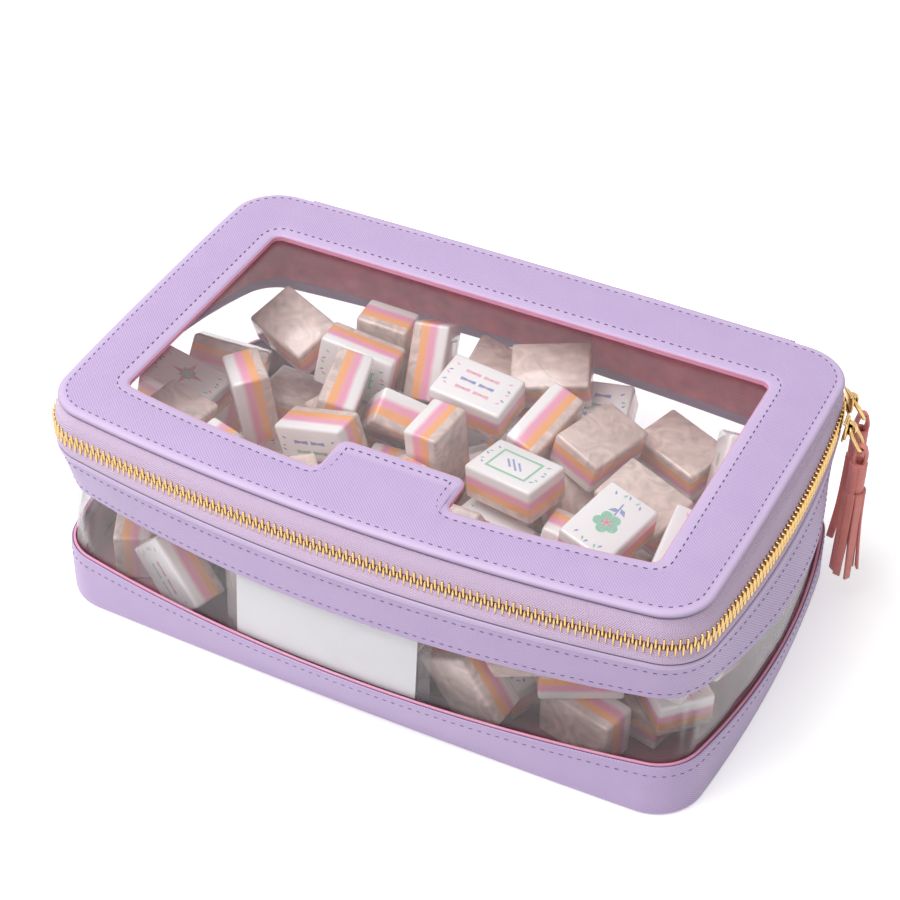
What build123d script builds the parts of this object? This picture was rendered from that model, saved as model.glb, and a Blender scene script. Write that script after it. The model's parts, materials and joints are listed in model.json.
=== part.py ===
from build123d import *
import math
import os

import numpy as np

# A soft zipped tile bag: a leather case with clear walls and a hinged lid with a clear window,
# closed by a metal zip round three sides, and filled with a loose heap of game tiles.
# Millimetres. +X right, +Y back, +Z up. The origin is the centre of the base's underside.

# Plan of the bag at its corners
case_width = 260.0
case_depth = 160.0
corner_radius = 20.0

# Heights of the wall's zones from the floor up
lower_band_height = 24.4
clear_zone_height = 30.4
upper_band_height = 21.9
lower_zip_zone = 8.2
upper_zip_zone = 9.0
lid_edge_height = 4.9

# How far each level stands inside the nominal plan at its corners
base_inset = -1.2
rim_inset = 1.1
waist_inset = 5.4
band_top_inset = 0.5

# How far the stuffed walls bow out of the straight plan, at each level
base_front_bow = 1.7
base_side_bow = 5.7
rim_front_bow = 13.9
rim_side_bow = 11.3
waist_front_bow = 16.0
waist_side_bow = 17.1
band_front_bow = 12.9
band_side_bow = 7.5
zip_front_bow = 11.1
zip_side_bow = 7.1
lid_front_bow = 10.2
lid_side_bow = 2.4
back_bulge = 1.6

# Sheet thicknesses
leather = 1.8
board = 2.4
panel = 2.8
satin = 0.6
vinyl = 0.6
tape = 0.9
pocket_film = 0.3
card_thickness = 0.4
rim_edge = 1.4

# Rolled edges
roll_top_gap = 0.3
roll_width = 2.3
roll_proud = 0.7
roll_rounding = 1.5
band_roll_height = 3.0
band_roll_proud = 0.5

# Overlaps and clearances
seam_overlap = 4.6
vinyl_clearance = 0.2
lining_clearance = 0.1
card_clearance = 0.6
card_seat_gap = 0.3
tape_setback = 0.3
tile_wall_gap = 5.6
card_travel_gap = 2.4
tile_floor_gap = 0.2
tile_top_gap = 0.7

# Window and tab of the lid
frame_side = 23.5
frame_front = 22.5
frame_back = 27.0
window_front_bow = 9.5
window_radius = 4.0
window_edge = 1.0
window_sheet_margin = 12.0
lining_setback = 2.0
tab_width = 50.0
tab_centre = 5.0
tab_reach = 18.5

# Hinge strip across the back
strip_side_gap = 23.0
strip_thickness = 1.4
strip_gap = 0.1
strip_top_drop = 1.3
strip_overlap = 6.7
fold_gap = 0.6
hinge_offset = 0.4
lining_end_gap = 1.5

# Zip
tooth_pitch = 3.0
tooth_length = 1.5
tooth_thickness = 2.6
tooth_height = 2.4
chain_gap = 1.0
stop_length = 3.0
zip_end_gap = 1.0

# Sliders, given by where they stand on the zip
slider_length = 9.0
slider_height = 7.2
slider_plate = 1.2
slider_outer_gap = 1.6
slider_inner_gap = 1.0
slider_bridge_length = 2.5
slider_bridge_gap = 0.2
slider_edge_radius = 1.4
front_slider_setback = 23.0
rear_slider_turn = 27.0

# Bail, pull link and tassel
bail_width = 3.0
bail_height = 6.4
bail_wall = 1.2
link_wire = 0.75
link_clearance = 0.2
link_length = 10.2
link_half_width = 3.4
link_lean = 30.0
loop_width = 3.0
loop_leather = 1.1
loop_clearance = 0.3
loop_drop = 6.2
head_radius = 4.2
head_height = 14.2
fringe_length = 44.0
fringe_collar = 1.5
fringe_strip_width = 3.3
fringe_strip_thickness = 1.0
fringe_flare = 1.6
fringe_outer_strips = 7
fringe_outer_drop = 4.0
fringe_inner_strips = 4
fringe_inner_drop = 2.0

# Label card and its pocket
card_width = 75.0
card_height = 31.3
card_centre = -7.5
card_rim_gap = 0.3
pocket_margin = 5.0
pocket_welt = 1.2
pocket_top_gap = 2.0

# Game tiles
tile_length = 31.5
tile_width = 22.0
tile_thickness = 15.0
tile_edge = 0.6
tile_spacing = 0.1
tile_tries = 200
tile_misses = 40
tile_settling = (6.0, 5.0, 4.0, 3.0, 2.5, 2.0, 1.5, 1.0, 0.7, 0.5)
tile_seed = 11
lying_share = 0.75
lying_lean = 0.15
heap_top_gap = 3.0
hollow_left_of = -55.0
hollow_behind = 30.0
hollow_top = 45.0
tile_sets = {
    "dot_tiles": 27,
    "bamboo_tiles": 27,
    "character_tiles": 27,
    "wind_tiles": 12,
    "dragon_tiles": 9,
    "flower_tiles": 6,
}

# The two turns, about y and then about x, that bring a side of a tile to the top
side_turns = {
    "face": (0, 0),
    "back": (0, 180),
    "long side": (0, 90),
    "far side": (0, -90),
    "end": (-90, 0),
}

# Tiles on top of the heap: side that is up, x, y and height of the middle, heading, and the
# leans about y and x. Each slides from there along the sliding way until it rests.
top_tiles = [
    ("back", 78, 12, 60, -20, 5, 10),
    ("face", -114, -8, 63, 0, 12, -5),
    ("back", -4, 54, 62, 5, 15, 10),
    ("back", 50, 28, 65, -105, 5, -10),
    ("back", 76, 51, 56, -25, 0, 15),
    ("end", 98, 38, 65, 20, 15, -30),
    ("back", -93, 40, 64, -20, 5, 20),
    ("face", 38, 56, 58, 10, 0, 30),
    ("long side", -60, 32, 69, 5, 15, 0),
    ("end", -57, 49, 65, -90, 0, -5),
    ("end", -36, 51, 68, -170, 0, 30),
    ("end", -85, -7, 67, 40, -5, 0),
    ("end", -32, 9, 68, -90, 35, -20),
    ("face", -2, 30, 72, 0, 0, 10),
    ("long side", -53, 3, 72, 100, -5, 15),
    ("end", 0, -6, 68, 0, 0, 5),
    ("far side", 33, 20, 72, 80, -10, 15),
    ("face", 35, -14, 75, -15, 0, -5),
    ("face", 75, -23, 74, 80, 0, 15),
    ("face", 102, -20, 73, 95, 0, 10),
]
sliding_way = (-0.33, 0.7, -0.63)
sliding_range = (-10.0, 22.0)
laying_tries = 1500
laying_play = 2.5
laying_lean = 0.12
laying_steps = (0.8, 0.6, 0.4, 0.3, 0.2)
laying_drop = 0.6
slide_penalty = 0.12
tilt_penalty = 12.0

# Heights of the seams above the floor
rim_height = lower_band_height
waist_height = rim_height + clear_zone_height
band_top_height = waist_height + upper_band_height
zip_height = band_top_height + lower_zip_zone
lid_edge_bottom = zip_height + upper_zip_zone
lid_top_height = lid_edge_bottom + lid_edge_height

# Levels from the floor up, as height, inset, and front, side and back bow.
# The back bows so that the wall's middle stands at one depth all the way up.
levels = [
    (0.0, base_inset, base_front_bow, base_side_bow, back_bulge + base_inset),
    (rim_height, rim_inset, rim_front_bow, rim_side_bow, back_bulge + rim_inset),
    (waist_height, waist_inset, waist_front_bow, waist_side_bow, back_bulge + waist_inset),
    (band_top_height, band_top_inset, band_front_bow, band_side_bow, back_bulge + band_top_inset),
    (zip_height, 0.0, zip_front_bow, zip_side_bow, back_bulge),
    (lid_edge_bottom, 0.0, lid_front_bow, lid_side_bow, back_bulge),
    (lid_top_height, 0.0, lid_front_bow, lid_side_bow, back_bulge),
]
level_heights = [level[0] for level in levels]

# Sizes that follow from the ones above
window_half_width = case_width / 2 - frame_side
window_front = case_depth / 2 - frame_front
window_back = case_depth / 2 - frame_back
strip_half_width = case_width / 2 - strip_side_gap
strip_bottom = band_top_height - strip_overlap
front_slider_y = case_depth / 2 - front_slider_setback
roll_height = lid_edge_height - roll_top_gap
card_left = card_centre - card_width / 2
card_right = card_centre + card_width / 2
card_bottom = rim_height + card_rim_gap
card_top = card_bottom + card_height
pocket_top = card_top - pocket_top_gap
tile_top_limit = zip_height - tile_top_gap
board_top = leather + board
lining_outer = leather + lining_clearance
lining_inner = lining_outer + satin
floor_top = board_top + satin
clear_outer = leather + vinyl_clearance
clear_inner = clear_outer + vinyl
clear_bottom = rim_height - seam_overlap
clear_top = waist_height + seam_overlap
card_outer = clear_inner + card_clearance
card_inner = card_outer + card_thickness
pocket_outer = card_inner + card_clearance
pocket_inner = pocket_outer + pocket_film
pocket_floor = card_bottom - card_seat_gap - pocket_welt
lower_tooth_top = zip_height - chain_gap / 2
lower_tooth_bottom = lower_tooth_top - tooth_height
upper_tooth_bottom = zip_height + chain_gap / 2
upper_tooth_top = upper_tooth_bottom + tooth_height
chain_offset = tape_setback + tape / 2
tape_inner = tape_setback + tape
panel_bottom = lid_top_height - panel
window_bottom = panel_bottom - vinyl
lid_lining_bottom = window_bottom - satin
roll_inner = roll_width - roll_proud
strip_inner = -roll_proud - strip_gap
strip_outer = strip_inner - strip_thickness
hinge_y = case_depth / 2 + back_bulge - strip_outer + hinge_offset
half_tooth = tooth_thickness / 2
plate_outer = half_tooth + slider_outer_gap
plate_inner = half_tooth + slider_inner_gap
link_pivot = plate_outer + slider_plate + link_clearance + link_wire
tassel_pivot = link_pivot + link_length * math.sin(math.radians(link_lean))
tassel_drop = link_length * math.cos(math.radians(link_lean))
box_signs = np.array([[i, j, k] for i in (-1, 1) for j in (-1, 1) for k in (-1, 1)])


def level_at(z):
    """Half width, half depth and the three bows of the plan at a height, between the levels."""
    rows = np.array(levels)
    inset, front, side, back = [float(np.interp(z, level_heights, rows[:, i])) for i in (1, 2, 3, 4)]
    return case_width / 2 - inset, case_depth / 2 - inset, front, side, back


def bowed_side(half_chord, bow, reach):
    """Radius of a side's arc, and how far its centre lies from the middle on the side's axis."""
    radius = (half_chord**2 + bow**2) / (2 * bow)
    return radius, reach + bow - radius


def corner_centre(side_x, side_radius, end_y, end_radius):
    """Centre of the corner circle that touches a side's arc and an end's arc from inside.

    It is where two circles about the arcs' centres cross, each smaller by the corner's radius.
    """
    p = side_radius - corner_radius
    q = end_radius - corner_radius
    span = math.hypot(side_x, end_y)
    along = (span**2 + p**2 - q**2) / (2 * span)
    across = math.sqrt(p**2 - along**2)
    ux, uy = -side_x / span, end_y / span
    first = (side_x + ux * along - uy * across, uy * along + ux * across)
    second = (side_x + ux * along + uy * across, uy * along - ux * across)
    return max((first, second), key=lambda c: c[0])


def plan_arcs(z):
    """The plan at a height as eight arcs, anticlockwise from the right side.

    Each arc is centre x, centre y, radius, first angle and last angle, in degrees.
    An inward offset shortens every radius and keeps the centres.
    """
    half_width, half_depth, front, side, back = level_at(z)
    side_radius, side_x = bowed_side(half_depth, side, half_width)
    front_radius, front_reach = bowed_side(half_width, front, half_depth)
    back_radius, back_reach = bowed_side(half_width, back, half_depth)
    back_corner = corner_centre(side_x, side_radius, back_reach, back_radius)
    front_corner = corner_centre(side_x, side_radius, -front_reach, front_radius)
    turn_up = math.degrees(math.atan2(back_corner[1], back_corner[0] - side_x))
    turn_back = math.degrees(math.atan2(back_corner[1] - back_reach, back_corner[0]))
    turn_down = math.degrees(math.atan2(front_corner[1], front_corner[0] - side_x))
    turn_front = math.degrees(math.atan2(front_corner[1] + front_reach, front_corner[0]))
    bx, by = back_corner
    fx, fy = front_corner
    return [
        (side_x, 0.0, side_radius, turn_down, turn_up),
        (bx, by, corner_radius, turn_up, turn_back),
        (0.0, back_reach, back_radius, turn_back, 180 - turn_back),
        (-bx, by, corner_radius, 180 - turn_back, 180 - turn_up),
        (-side_x, 0.0, side_radius, 180 - turn_up, 180 - turn_down),
        (-fx, fy, corner_radius, 180 - turn_down, 180 - turn_front),
        (0.0, -front_reach, front_radius, 180 - turn_front, 360 + turn_front),
        (fx, fy, corner_radius, turn_front, turn_down),
    ]


def outline(z, offset):
    """Flat face of the plan at a height, drawn in by an offset."""
    edges = []
    for cx, cy, radius, first, last in plan_arcs(z):
        edges.append(CenterArc((cx, cy, z), radius - offset, first, last - first))
    return make_face(edges)


def block(x0, x1, y0, y1, z0, z1):
    """Box given by its limits."""
    centre = Pos((x0 + x1) / 2, (y0 + y1) / 2, (z0 + z1) / 2)
    return centre * Box(x1 - x0, y1 - y0, z1 - z0)


def body_of(bottom, top, offset):
    """Solid of the bag's outer form between two heights, drawn in by an offset.

    It is cut from a loft between whole levels, so that pieces which share a wall share its form.
    """
    first = max(z for z in level_heights if z <= bottom)
    last = min(z for z in level_heights if z >= top)
    form = loft([outline(z, offset) for z in level_heights if first <= z <= last], ruled=True)
    if (first, last) == (bottom, top):
        return form
    return form & block(-case_width, case_width, -case_width, case_width, bottom, top)


def shell(bottom, top, outer, inner):
    """Closed ring of wall between two heights, from an outer to an inner offset."""
    return body_of(bottom, top, outer) - body_of(bottom, top, inner)


def back_zone(half_width):
    """Box that holds the back wall between two places along it."""
    return block(-half_width, half_width, 0, case_depth, -1, lid_top_height + 1)


def prism(face, bottom, top):
    """Solid of a flat face at height 0, carried up between two heights."""
    return Pos(0, 0, bottom) * extrude(face, top - bottom)


def window_face(margin):
    """The window's opening, widened by a margin: bowed front edge, and the tab left standing."""
    left, right = -window_half_width, window_half_width
    front, back = -window_front, window_back
    edges = [
        ThreePointArc((left, front), (0, front - window_front_bow), (right, front)),
        Line((right, front), (right, back)),
        Line((right, back), (left, back)),
        Line((left, back), (left, front)),
    ]
    tab_top = front - window_front_bow + tab_reach
    tab = Pos(tab_centre, tab_top - tab_reach) * Rectangle(tab_width, 2 * tab_reach)
    opening = make_face(edges) - tab
    opening = fillet(opening.vertices(), window_radius)
    if margin:
        opening = offset(opening, amount=margin)
    return opening


def rounded_roll(ring, radius):
    """A ring with its outer top and bottom edges rounded."""
    top = ring.faces().sort_by(Axis.Z)[-1].outer_wire().edges()
    bottom = ring.faces().sort_by(Axis.Z)[0].outer_wire().edges()
    return fillet(top + bottom, radius)


def base_parts():
    """Leather base, its stiffening board and the satin over it."""
    return {
        "base_panel": body_of(0, leather, leather),
        "base_board": body_of(leather, board_top, clear_inner),
        "base_lining": body_of(board_top, floor_top, clear_inner),
    }


def lower_wall_parts():
    """Lower leather band with its coloured rim and lining."""
    return {
        "lower_band": shell(0, rim_height, 0, leather),
        "lower_rim": shell(rim_height, rim_height + rim_edge, 0, leather),
        "lower_band_lining": shell(
            floor_top, clear_bottom - vinyl_clearance, lining_outer, lining_inner
        ),
    }


def clear_wall_parts():
    """Clear wall sewn behind both bands, and the pocket film behind it at the front."""
    reach = block(
        card_left - pocket_margin, card_right + pocket_margin, -case_depth, 0, 0, lid_top_height
    )
    film = shell(pocket_floor, pocket_top, pocket_outer, pocket_inner)
    welt = shell(pocket_floor, pocket_floor + pocket_welt, clear_inner, pocket_outer)
    return {
        "clear_wall": shell(clear_bottom, clear_top, clear_outer, clear_inner),
        "card_pocket": film & reach,
        "pocket_welt": welt & reach,
    }


def upper_wall_parts():
    """Upper leather band with its rolled top edge and satin lining."""
    roll_bottom = band_top_height - band_roll_height
    roll = shell(roll_bottom, band_top_height, -band_roll_proud, leather)
    return {
        "upper_band": shell(waist_height, roll_bottom, 0, leather),
        "upper_band_edge_roll": roll,
        "upper_band_lining": shell(
            clear_top + vinyl_clearance, band_top_height, lining_outer, lining_inner
        ),
    }


def hinge_parts():
    """Leather strip across the back in two leaves with a fold between, each with its lining."""
    zone = back_zone(strip_half_width)
    inner_zone = back_zone(strip_half_width - lining_end_gap)
    low = zip_height - fold_gap / 2
    high = zip_height + fold_gap / 2
    strip_top = lid_top_height - strip_top_drop
    return {
        "hinge_strip_lower": shell(strip_bottom, low, strip_outer, strip_inner) & zone,
        "hinge_lining_lower": shell(band_top_height, low, tape_setback, tape_inner) & inner_zone,
        "hinge_strip_upper": shell(high, strip_top, strip_outer, strip_inner) & zone,
        "hinge_lining_upper": shell(high, lid_edge_bottom, tape_setback, tape_inner) & inner_zone,
    }


def chain_arcs():
    """The zip's route as arcs, clockwise from the back right round the front to the back left."""
    right_side, right_back, back, left_back, left_side, left_front, front, right_front = plan_arcs(
        zip_height
    )
    radius = back[2] - chain_offset
    end = math.degrees(math.acos((strip_half_width + zip_end_gap) / radius))
    first = (back[0], back[1], back[2], back[3], end)
    last = (back[0], back[1], back[2], 180 - end, back[4])
    ordered = [first, right_back, right_side, right_front, front, left_front, left_side, left_back, last]
    return [(cx, cy, r - chain_offset, high, low) for cx, cy, r, low, high in ordered]


def chain_frames():
    """Place and outward angle of each tooth along the zip, evenly spaced."""
    frames = []
    travelled = 0.0
    next_tooth = stop_length + tooth_pitch / 2
    arcs = chain_arcs()
    total = sum(math.radians(high - low) * r for _, _, r, high, low in arcs)
    for cx, cy, radius, high, low in arcs:
        length = math.radians(high - low) * radius
        while next_tooth <= min(travelled + length, total - stop_length - tooth_pitch / 2):
            angle = high - math.degrees((next_tooth - travelled) / radius)
            x = cx + radius * math.cos(math.radians(angle))
            y = cy + radius * math.sin(math.radians(angle))
            frames.append((x, y, angle))
            next_tooth += tooth_pitch
        travelled += length
    return frames


def teeth(bottom, shift):
    """A row of separate teeth on one tape; a shift of half a pitch sets it between the other's."""
    tooth = Box(tooth_thickness, tooth_length, tooth_height)
    row = []
    for x, y, angle in chain_frames():
        place = Pos(x, y, bottom + tooth_height / 2) * Rot(0, 0, angle) * Pos(0, shift, 0)
        row.append(place * tooth)
    return Compound(children=row)


def chain_end(index, bottom):
    """A metal stop at one end of the route."""
    cx, cy, radius, high, low = chain_arcs()[index]
    inward = math.degrees(stop_length / 2 / radius)
    angle = high - inward if index == 0 else low + inward
    x = cx + radius * math.cos(math.radians(angle))
    y = cy + radius * math.sin(math.radians(angle))
    stop = Box(tooth_thickness, stop_length - tooth_length / 2, tooth_height)
    return Pos(x, y, bottom + tooth_height / 2) * Rot(0, 0, angle) * stop


def zip_parts():
    """Both tapes, open across the back, with their teeth and end stops."""
    gap = back_zone(strip_half_width)
    lower = shell(band_top_height, lower_tooth_bottom, tape_setback, tape_inner)
    upper = shell(upper_tooth_top, lid_edge_bottom, tape_setback, tape_inner)
    quarter = tooth_pitch / 4
    return {
        "lower_zip_tape": lower - gap,
        "lower_zip_teeth": teeth(lower_tooth_bottom, quarter),
        "lower_zip_stops": Compound(
            children=[chain_end(0, lower_tooth_bottom), chain_end(-1, lower_tooth_bottom)]
        ),
        "upper_zip_tape": upper - gap,
        "upper_zip_teeth": teeth(upper_tooth_bottom, -quarter),
        "upper_zip_stops": Compound(
            children=[chain_end(0, upper_tooth_bottom), chain_end(-1, upper_tooth_bottom)]
        ),
    }


def lid_parts():
    """Framed lid: leather panel with the tab, rolled edge, window sheet, coloured edge and lining."""
    opening = window_face(0)
    roll = shell(lid_edge_bottom, lid_edge_bottom + roll_height, -roll_proud, roll_inner)
    edging = opening - offset(opening, amount=-window_edge)
    lining = body_of(lid_lining_bottom, window_bottom, roll_inner)
    return {
        "lid_panel": body_of(panel_bottom, lid_top_height, roll_inner)
        - prism(opening, panel_bottom - 1, lid_top_height + 1),
        "lid_edge_roll": rounded_roll(roll, roll_rounding),
        "window_edging": prism(edging, panel_bottom, panel_bottom + rim_edge),
        "lid_window": body_of(window_bottom, panel_bottom, window_sheet_margin),
        "lid_lining": lining - prism(window_face(lining_setback), lid_lining_bottom - 1, window_bottom + 1),
    }


def slider_body():
    """Two plates on either side of the chain, joined by a bridge between the rows of teeth.

    Drawn with +X out of the wall and +Y along the zip, about the chain's middle.
    """
    plate = Box(slider_plate, slider_length, slider_height)
    plate = fillet(plate.edges().filter_by(Axis.X), slider_edge_radius)
    outer = Pos(plate_outer + slider_plate / 2, 0, 0) * plate
    inner = Pos(-plate_inner - slider_plate / 2, 0, 0) * plate
    thickness = chain_gap - 2 * slider_bridge_gap
    half = slider_bridge_length / 2
    bridge = block(-plate_inner - 0.1, plate_outer + 0.1, -half, half, -thickness / 2, thickness / 2)
    return outer + bridge + inner


def slider_bail():
    """Arch on the slider's face that the pull link hangs in."""
    foot = plate_outer + slider_plate
    eye = 2 * (link_wire + link_clearance)
    half_width = bail_width / 2
    half_height = bail_height / 2
    arch = block(foot, foot + eye + bail_wall, -half_width, half_width, -half_height, half_height)
    arch = fillet(arch.edges().filter_by(Axis.Y).group_by(Axis.X)[-1], bail_wall)
    hole = half_height - bail_wall
    return arch - block(foot - 1, foot + eye, -bail_width, bail_width, -hole, hole)


def pull_link():
    """Wire loop that leans out from the bail's bar to the bar that carries the tassel."""
    side = Cylinder(link_wire, link_length)
    bar = Rot(90, 0, 0) * Cylinder(link_wire, 2 * link_half_width)
    knuckle = Sphere(link_wire)
    loop = bar + Pos(0, 0, -link_length) * bar
    for y in (-link_half_width, link_half_width):
        loop += Pos(0, y, -link_length / 2) * side
        loop += Pos(0, y, 0) * knuckle
        loop += Pos(0, y, -link_length) * knuckle
    return Pos(link_pivot, 0, 0) * Rot(0, -link_lean, 0) * loop


def tassel_loop():
    """Folded leather loop over the link's lower bar, down to the tassel's head."""
    inner = link_wire + loop_clearance
    outer = inner + loop_leather
    half = loop_width / 2
    fold = Rot(90, 0, 0) * (Cylinder(outer, loop_width) - Cylinder(inner, loop_width + 1))
    fold &= block(-outer, outer, -half, half, 0, outer)
    strap = block(inner, outer, -half, half, -loop_drop, 0)
    strap += block(-outer, -inner, -half, half, -loop_drop, 0)
    return Pos(tassel_pivot, 0, -tassel_drop) * (fold + strap)


def tassel_head():
    """Leather wrapped into the tassel's head."""
    head = Cylinder(head_radius, head_height)
    head = fillet(head.edges().group_by(Axis.Z)[-1], fringe_strip_thickness)
    return Pos(tassel_pivot, 0, -tassel_drop - loop_drop - head_height / 2) * head


def fringe_ring(count, radius, flare, drop):
    """Strips hanging from a circle, each leaning out by the flare.

    Their lengths differ by up to the drop, in an uneven order of five steps.
    """
    strips = []
    for i in range(count):
        length = fringe_length - drop * ((i * 3) % 5) / 4
        strip = Pos(0, 0, -length / 2) * Box(fringe_strip_thickness, fringe_strip_width, length)
        strips.append(Rot(0, 0, 360 * i / count) * Pos(radius, 0, 0) * Rot(0, -flare, 0) * strip)
    return strips


def tassel_fringe():
    """Cut strips below the head, joined at a collar."""
    radius = head_radius - fringe_strip_thickness
    collar = Pos(0, 0, -fringe_collar / 2) * Cylinder(head_radius, fringe_collar)
    fringe = collar
    for strip in fringe_ring(fringe_outer_strips, radius, fringe_flare, fringe_outer_drop):
        fringe += strip
    for strip in fringe_ring(fringe_inner_strips, radius / 2, fringe_flare / 3, fringe_inner_drop):
        fringe += strip
    reach = 3 * head_radius
    fringe &= block(-reach, reach, -reach, reach, -2 * fringe_length, 0)
    return Pos(tassel_pivot, 0, -tassel_drop - loop_drop - head_height) * fringe


def slider_places():
    """Where each slider stands on the chain: x, y and outward angle."""
    arcs = chain_arcs()
    side_x, _, side_radius, _, _ = arcs[2]
    angle = math.degrees(math.asin(front_slider_y / side_radius))
    front = (side_x + side_radius * math.cos(math.radians(angle)), front_slider_y, angle)
    cx, cy, radius, _, low = arcs[1]
    turn = low + rear_slider_turn
    x = cx + radius * math.cos(math.radians(turn))
    y = cy + radius * math.sin(math.radians(turn))
    return {"front": front, "rear": (x, y, turn)}


def slider_parts():
    """Each slider with its bail, pull link and tassel, set on the chain."""
    pieces = {
        "slider_body": slider_body(),
        "slider_bail": slider_bail(),
        "pull_link": pull_link(),
        "tassel_loop": tassel_loop(),
        "tassel_head": tassel_head(),
        "tassel_fringe": tassel_fringe(),
    }
    parts = {}
    for side, (x, y, angle) in slider_places().items():
        for name, piece in pieces.items():
            parts[f"{side}_{name}"] = Pos(x, y, zip_height) * Rot(0, 0, angle) * piece
    return parts


def label_card():
    """Card that stands in the pocket and follows the wall."""
    sheet = shell(card_bottom, card_top, card_outer, card_inner)
    return {"label_card": sheet & block(card_left, card_right, -case_depth, 0, 0, lid_top_height)}


def inside_case(points):
    """Whether points lie inside the case's plan at their heights, clear of the walls."""
    rows = np.array(levels)
    x, y, z = points[..., 0], points[..., 1], points[..., 2]
    inset, front, side, back = [np.interp(z, level_heights, rows[:, i]) for i in (1, 2, 3, 4)]
    half_width = case_width / 2 - inset
    half_depth = case_depth / 2 - inset
    end_bow = np.where(y < 0, front, back) * (1 - (x / half_width) ** 2)
    side_bow = side * (1 - (y / half_depth) ** 2)
    past_x = np.abs(x) - (half_width - corner_radius)
    past_y = np.abs(y) - (half_depth - corner_radius)
    in_corner = (past_x > 0) & (past_y > 0)
    rounded = np.hypot(past_x, past_y) < corner_radius - tile_wall_gap
    straight = (np.abs(x) < half_width + side_bow - tile_wall_gap) & (
        np.abs(y) < half_depth + end_bow - tile_wall_gap
    )
    waist_width = case_width / 2 - waist_inset
    waist_reach = case_depth / 2 - waist_inset + waist_front_bow * (1 - (x / waist_width) ** 2)
    clear_of_card = y > pocket_inner + card_travel_gap - waist_reach
    return straight & (rounded | ~in_corner) & (clear_of_card | (z < waist_height))


def random_turns(rng, count):
    """Rotation matrices spread evenly over all turns, from unit quaternions."""
    u, v, w = rng.random((3, count))
    a = np.sqrt(1 - u) * np.sin(2 * np.pi * v)
    b = np.sqrt(1 - u) * np.cos(2 * np.pi * v)
    c = np.sqrt(u) * np.sin(2 * np.pi * w)
    d = np.sqrt(u) * np.cos(2 * np.pi * w)
    rows = [
        [1 - 2 * (c * c + d * d), 2 * (b * c - d * a), 2 * (b * d + c * a)],
        [2 * (b * c + d * a), 1 - 2 * (b * b + d * d), 2 * (c * d - b * a)],
        [2 * (b * d - c * a), 2 * (c * d + b * a), 1 - 2 * (b * b + c * c)],
    ]
    return np.moveaxis(np.array(rows), 2, 0)


def blocked_heights(turns, spots, half, centres, placed_turns):
    """For each try and each placed tile, the heights at which the two boxes would overlap.

    Two boxes are apart when they are apart along one of fifteen directions: the faces' normals
    and the cross products of their edges. As the try moves up, each direction keeps them
    together over one stretch of heights, and they overlap where all the stretches meet.
    """
    tries, count = len(turns), len(centres)
    a = np.broadcast_to(turns[:, None], (tries, count, 3, 3))
    b = np.broadcast_to(placed_turns[None], (tries, count, 3, 3))
    cross = np.cross(
        a.transpose(0, 1, 3, 2)[:, :, :, None, :], b.transpose(0, 1, 3, 2)[:, :, None, :, :]
    ).reshape(tries, count, 9, 3)
    axes = np.concatenate([a.transpose(0, 1, 3, 2), b.transpose(0, 1, 3, 2), cross], axis=2)
    reach = np.abs(axes @ a) @ half + np.abs(axes @ b) @ half
    flat = np.linalg.norm(axes, axis=3) < 1e-6
    base = np.concatenate([spots, np.zeros((tries, 1))], axis=1)[:, None] - centres[None]
    away = np.einsum("tnak,tnk->tna", axes, base)
    lift = axes[..., 2]
    level = np.abs(lift) < 1e-9
    safe = np.where(level, 1.0, lift)
    first = (-reach - away) / safe
    second = (reach - away) / safe
    low = np.where(level | flat, -np.inf, np.minimum(first, second))
    high = np.where(level | flat, np.inf, np.maximum(first, second))
    apart = (level & ~flat & (np.abs(away) >= reach)).any(axis=2)
    low, high = low.max(axis=2), high.min(axis=2)
    clear = apart | (low >= high)
    return np.where(clear, np.inf, low), np.where(clear, -np.inf, high)


def small_turns(rng, count, spread):
    """Rotation matrices of small turns about random axes, from the vector form of a turn."""
    vectors = spread * (2 * rng.random((count, 3)) - 1)
    angles = np.linalg.norm(vectors, axis=1)[:, None, None]
    x, y, z = (vectors / angles[:, 0]).T
    zero = np.zeros(count)
    skew = np.moveaxis(np.array([[zero, -z, y], [z, zero, -x], [-y, x, zero]]), 2, 0)
    return np.eye(3) + np.sin(angles) * skew + (1 - np.cos(angles)) * (skew @ skew)


def turn_about(axis, degrees):
    """Rotation matrix of a turn about x, y or z, given by the axis's number."""
    angle = math.radians(degrees)
    first, second = (axis + 1) % 3, (axis + 2) % 3
    turn = np.eye(3)
    turn[first, first] = turn[second, second] = math.cos(angle)
    turn[second, first] = math.sin(angle)
    turn[first, second] = -math.sin(angle)
    return turn


def side_up(side):
    """Rotation matrix that brings a side of a tile to the top."""
    about_y, about_x = side_turns[side]
    return turn_about(0, about_x) @ turn_about(1, about_y)


def lying_turns(rng, count):
    """Turns of tiles that lie about flat on one of their sides, with any heading."""
    sides = np.array([side_up(side) for side in side_turns])
    headings = np.array([turn_about(2, heading) for heading in 360 * rng.random(count)])
    return small_turns(rng, count, lying_lean) @ headings @ sides[rng.integers(0, len(sides), count)]


def top_tile_places():
    """Centres and turns from which the tiles on top of the heap start."""
    centres = np.array([row[1:4] for row in top_tiles], dtype=float)
    turns = [
        turn_about(2, heading) @ turn_about(1, lean_y) @ turn_about(0, lean_x) @ side_up(side)
        for side, _, _, _, heading, lean_y, lean_x in top_tiles
    ]
    return centres, np.array(turns)


def heap_top(points):
    """Height under which the loose heap stays: lower in the corner where the floor shows."""
    x, y = points[..., 0].mean(axis=-1), points[..., 1].mean(axis=-1)
    in_hollow = (x < hollow_left_of) & (y > hollow_behind)
    return np.where(in_hollow, hollow_top, tile_top_limit - heap_top_gap)


def case_top(points):
    """Height under which every tile stays."""
    return tile_top_limit


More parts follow.
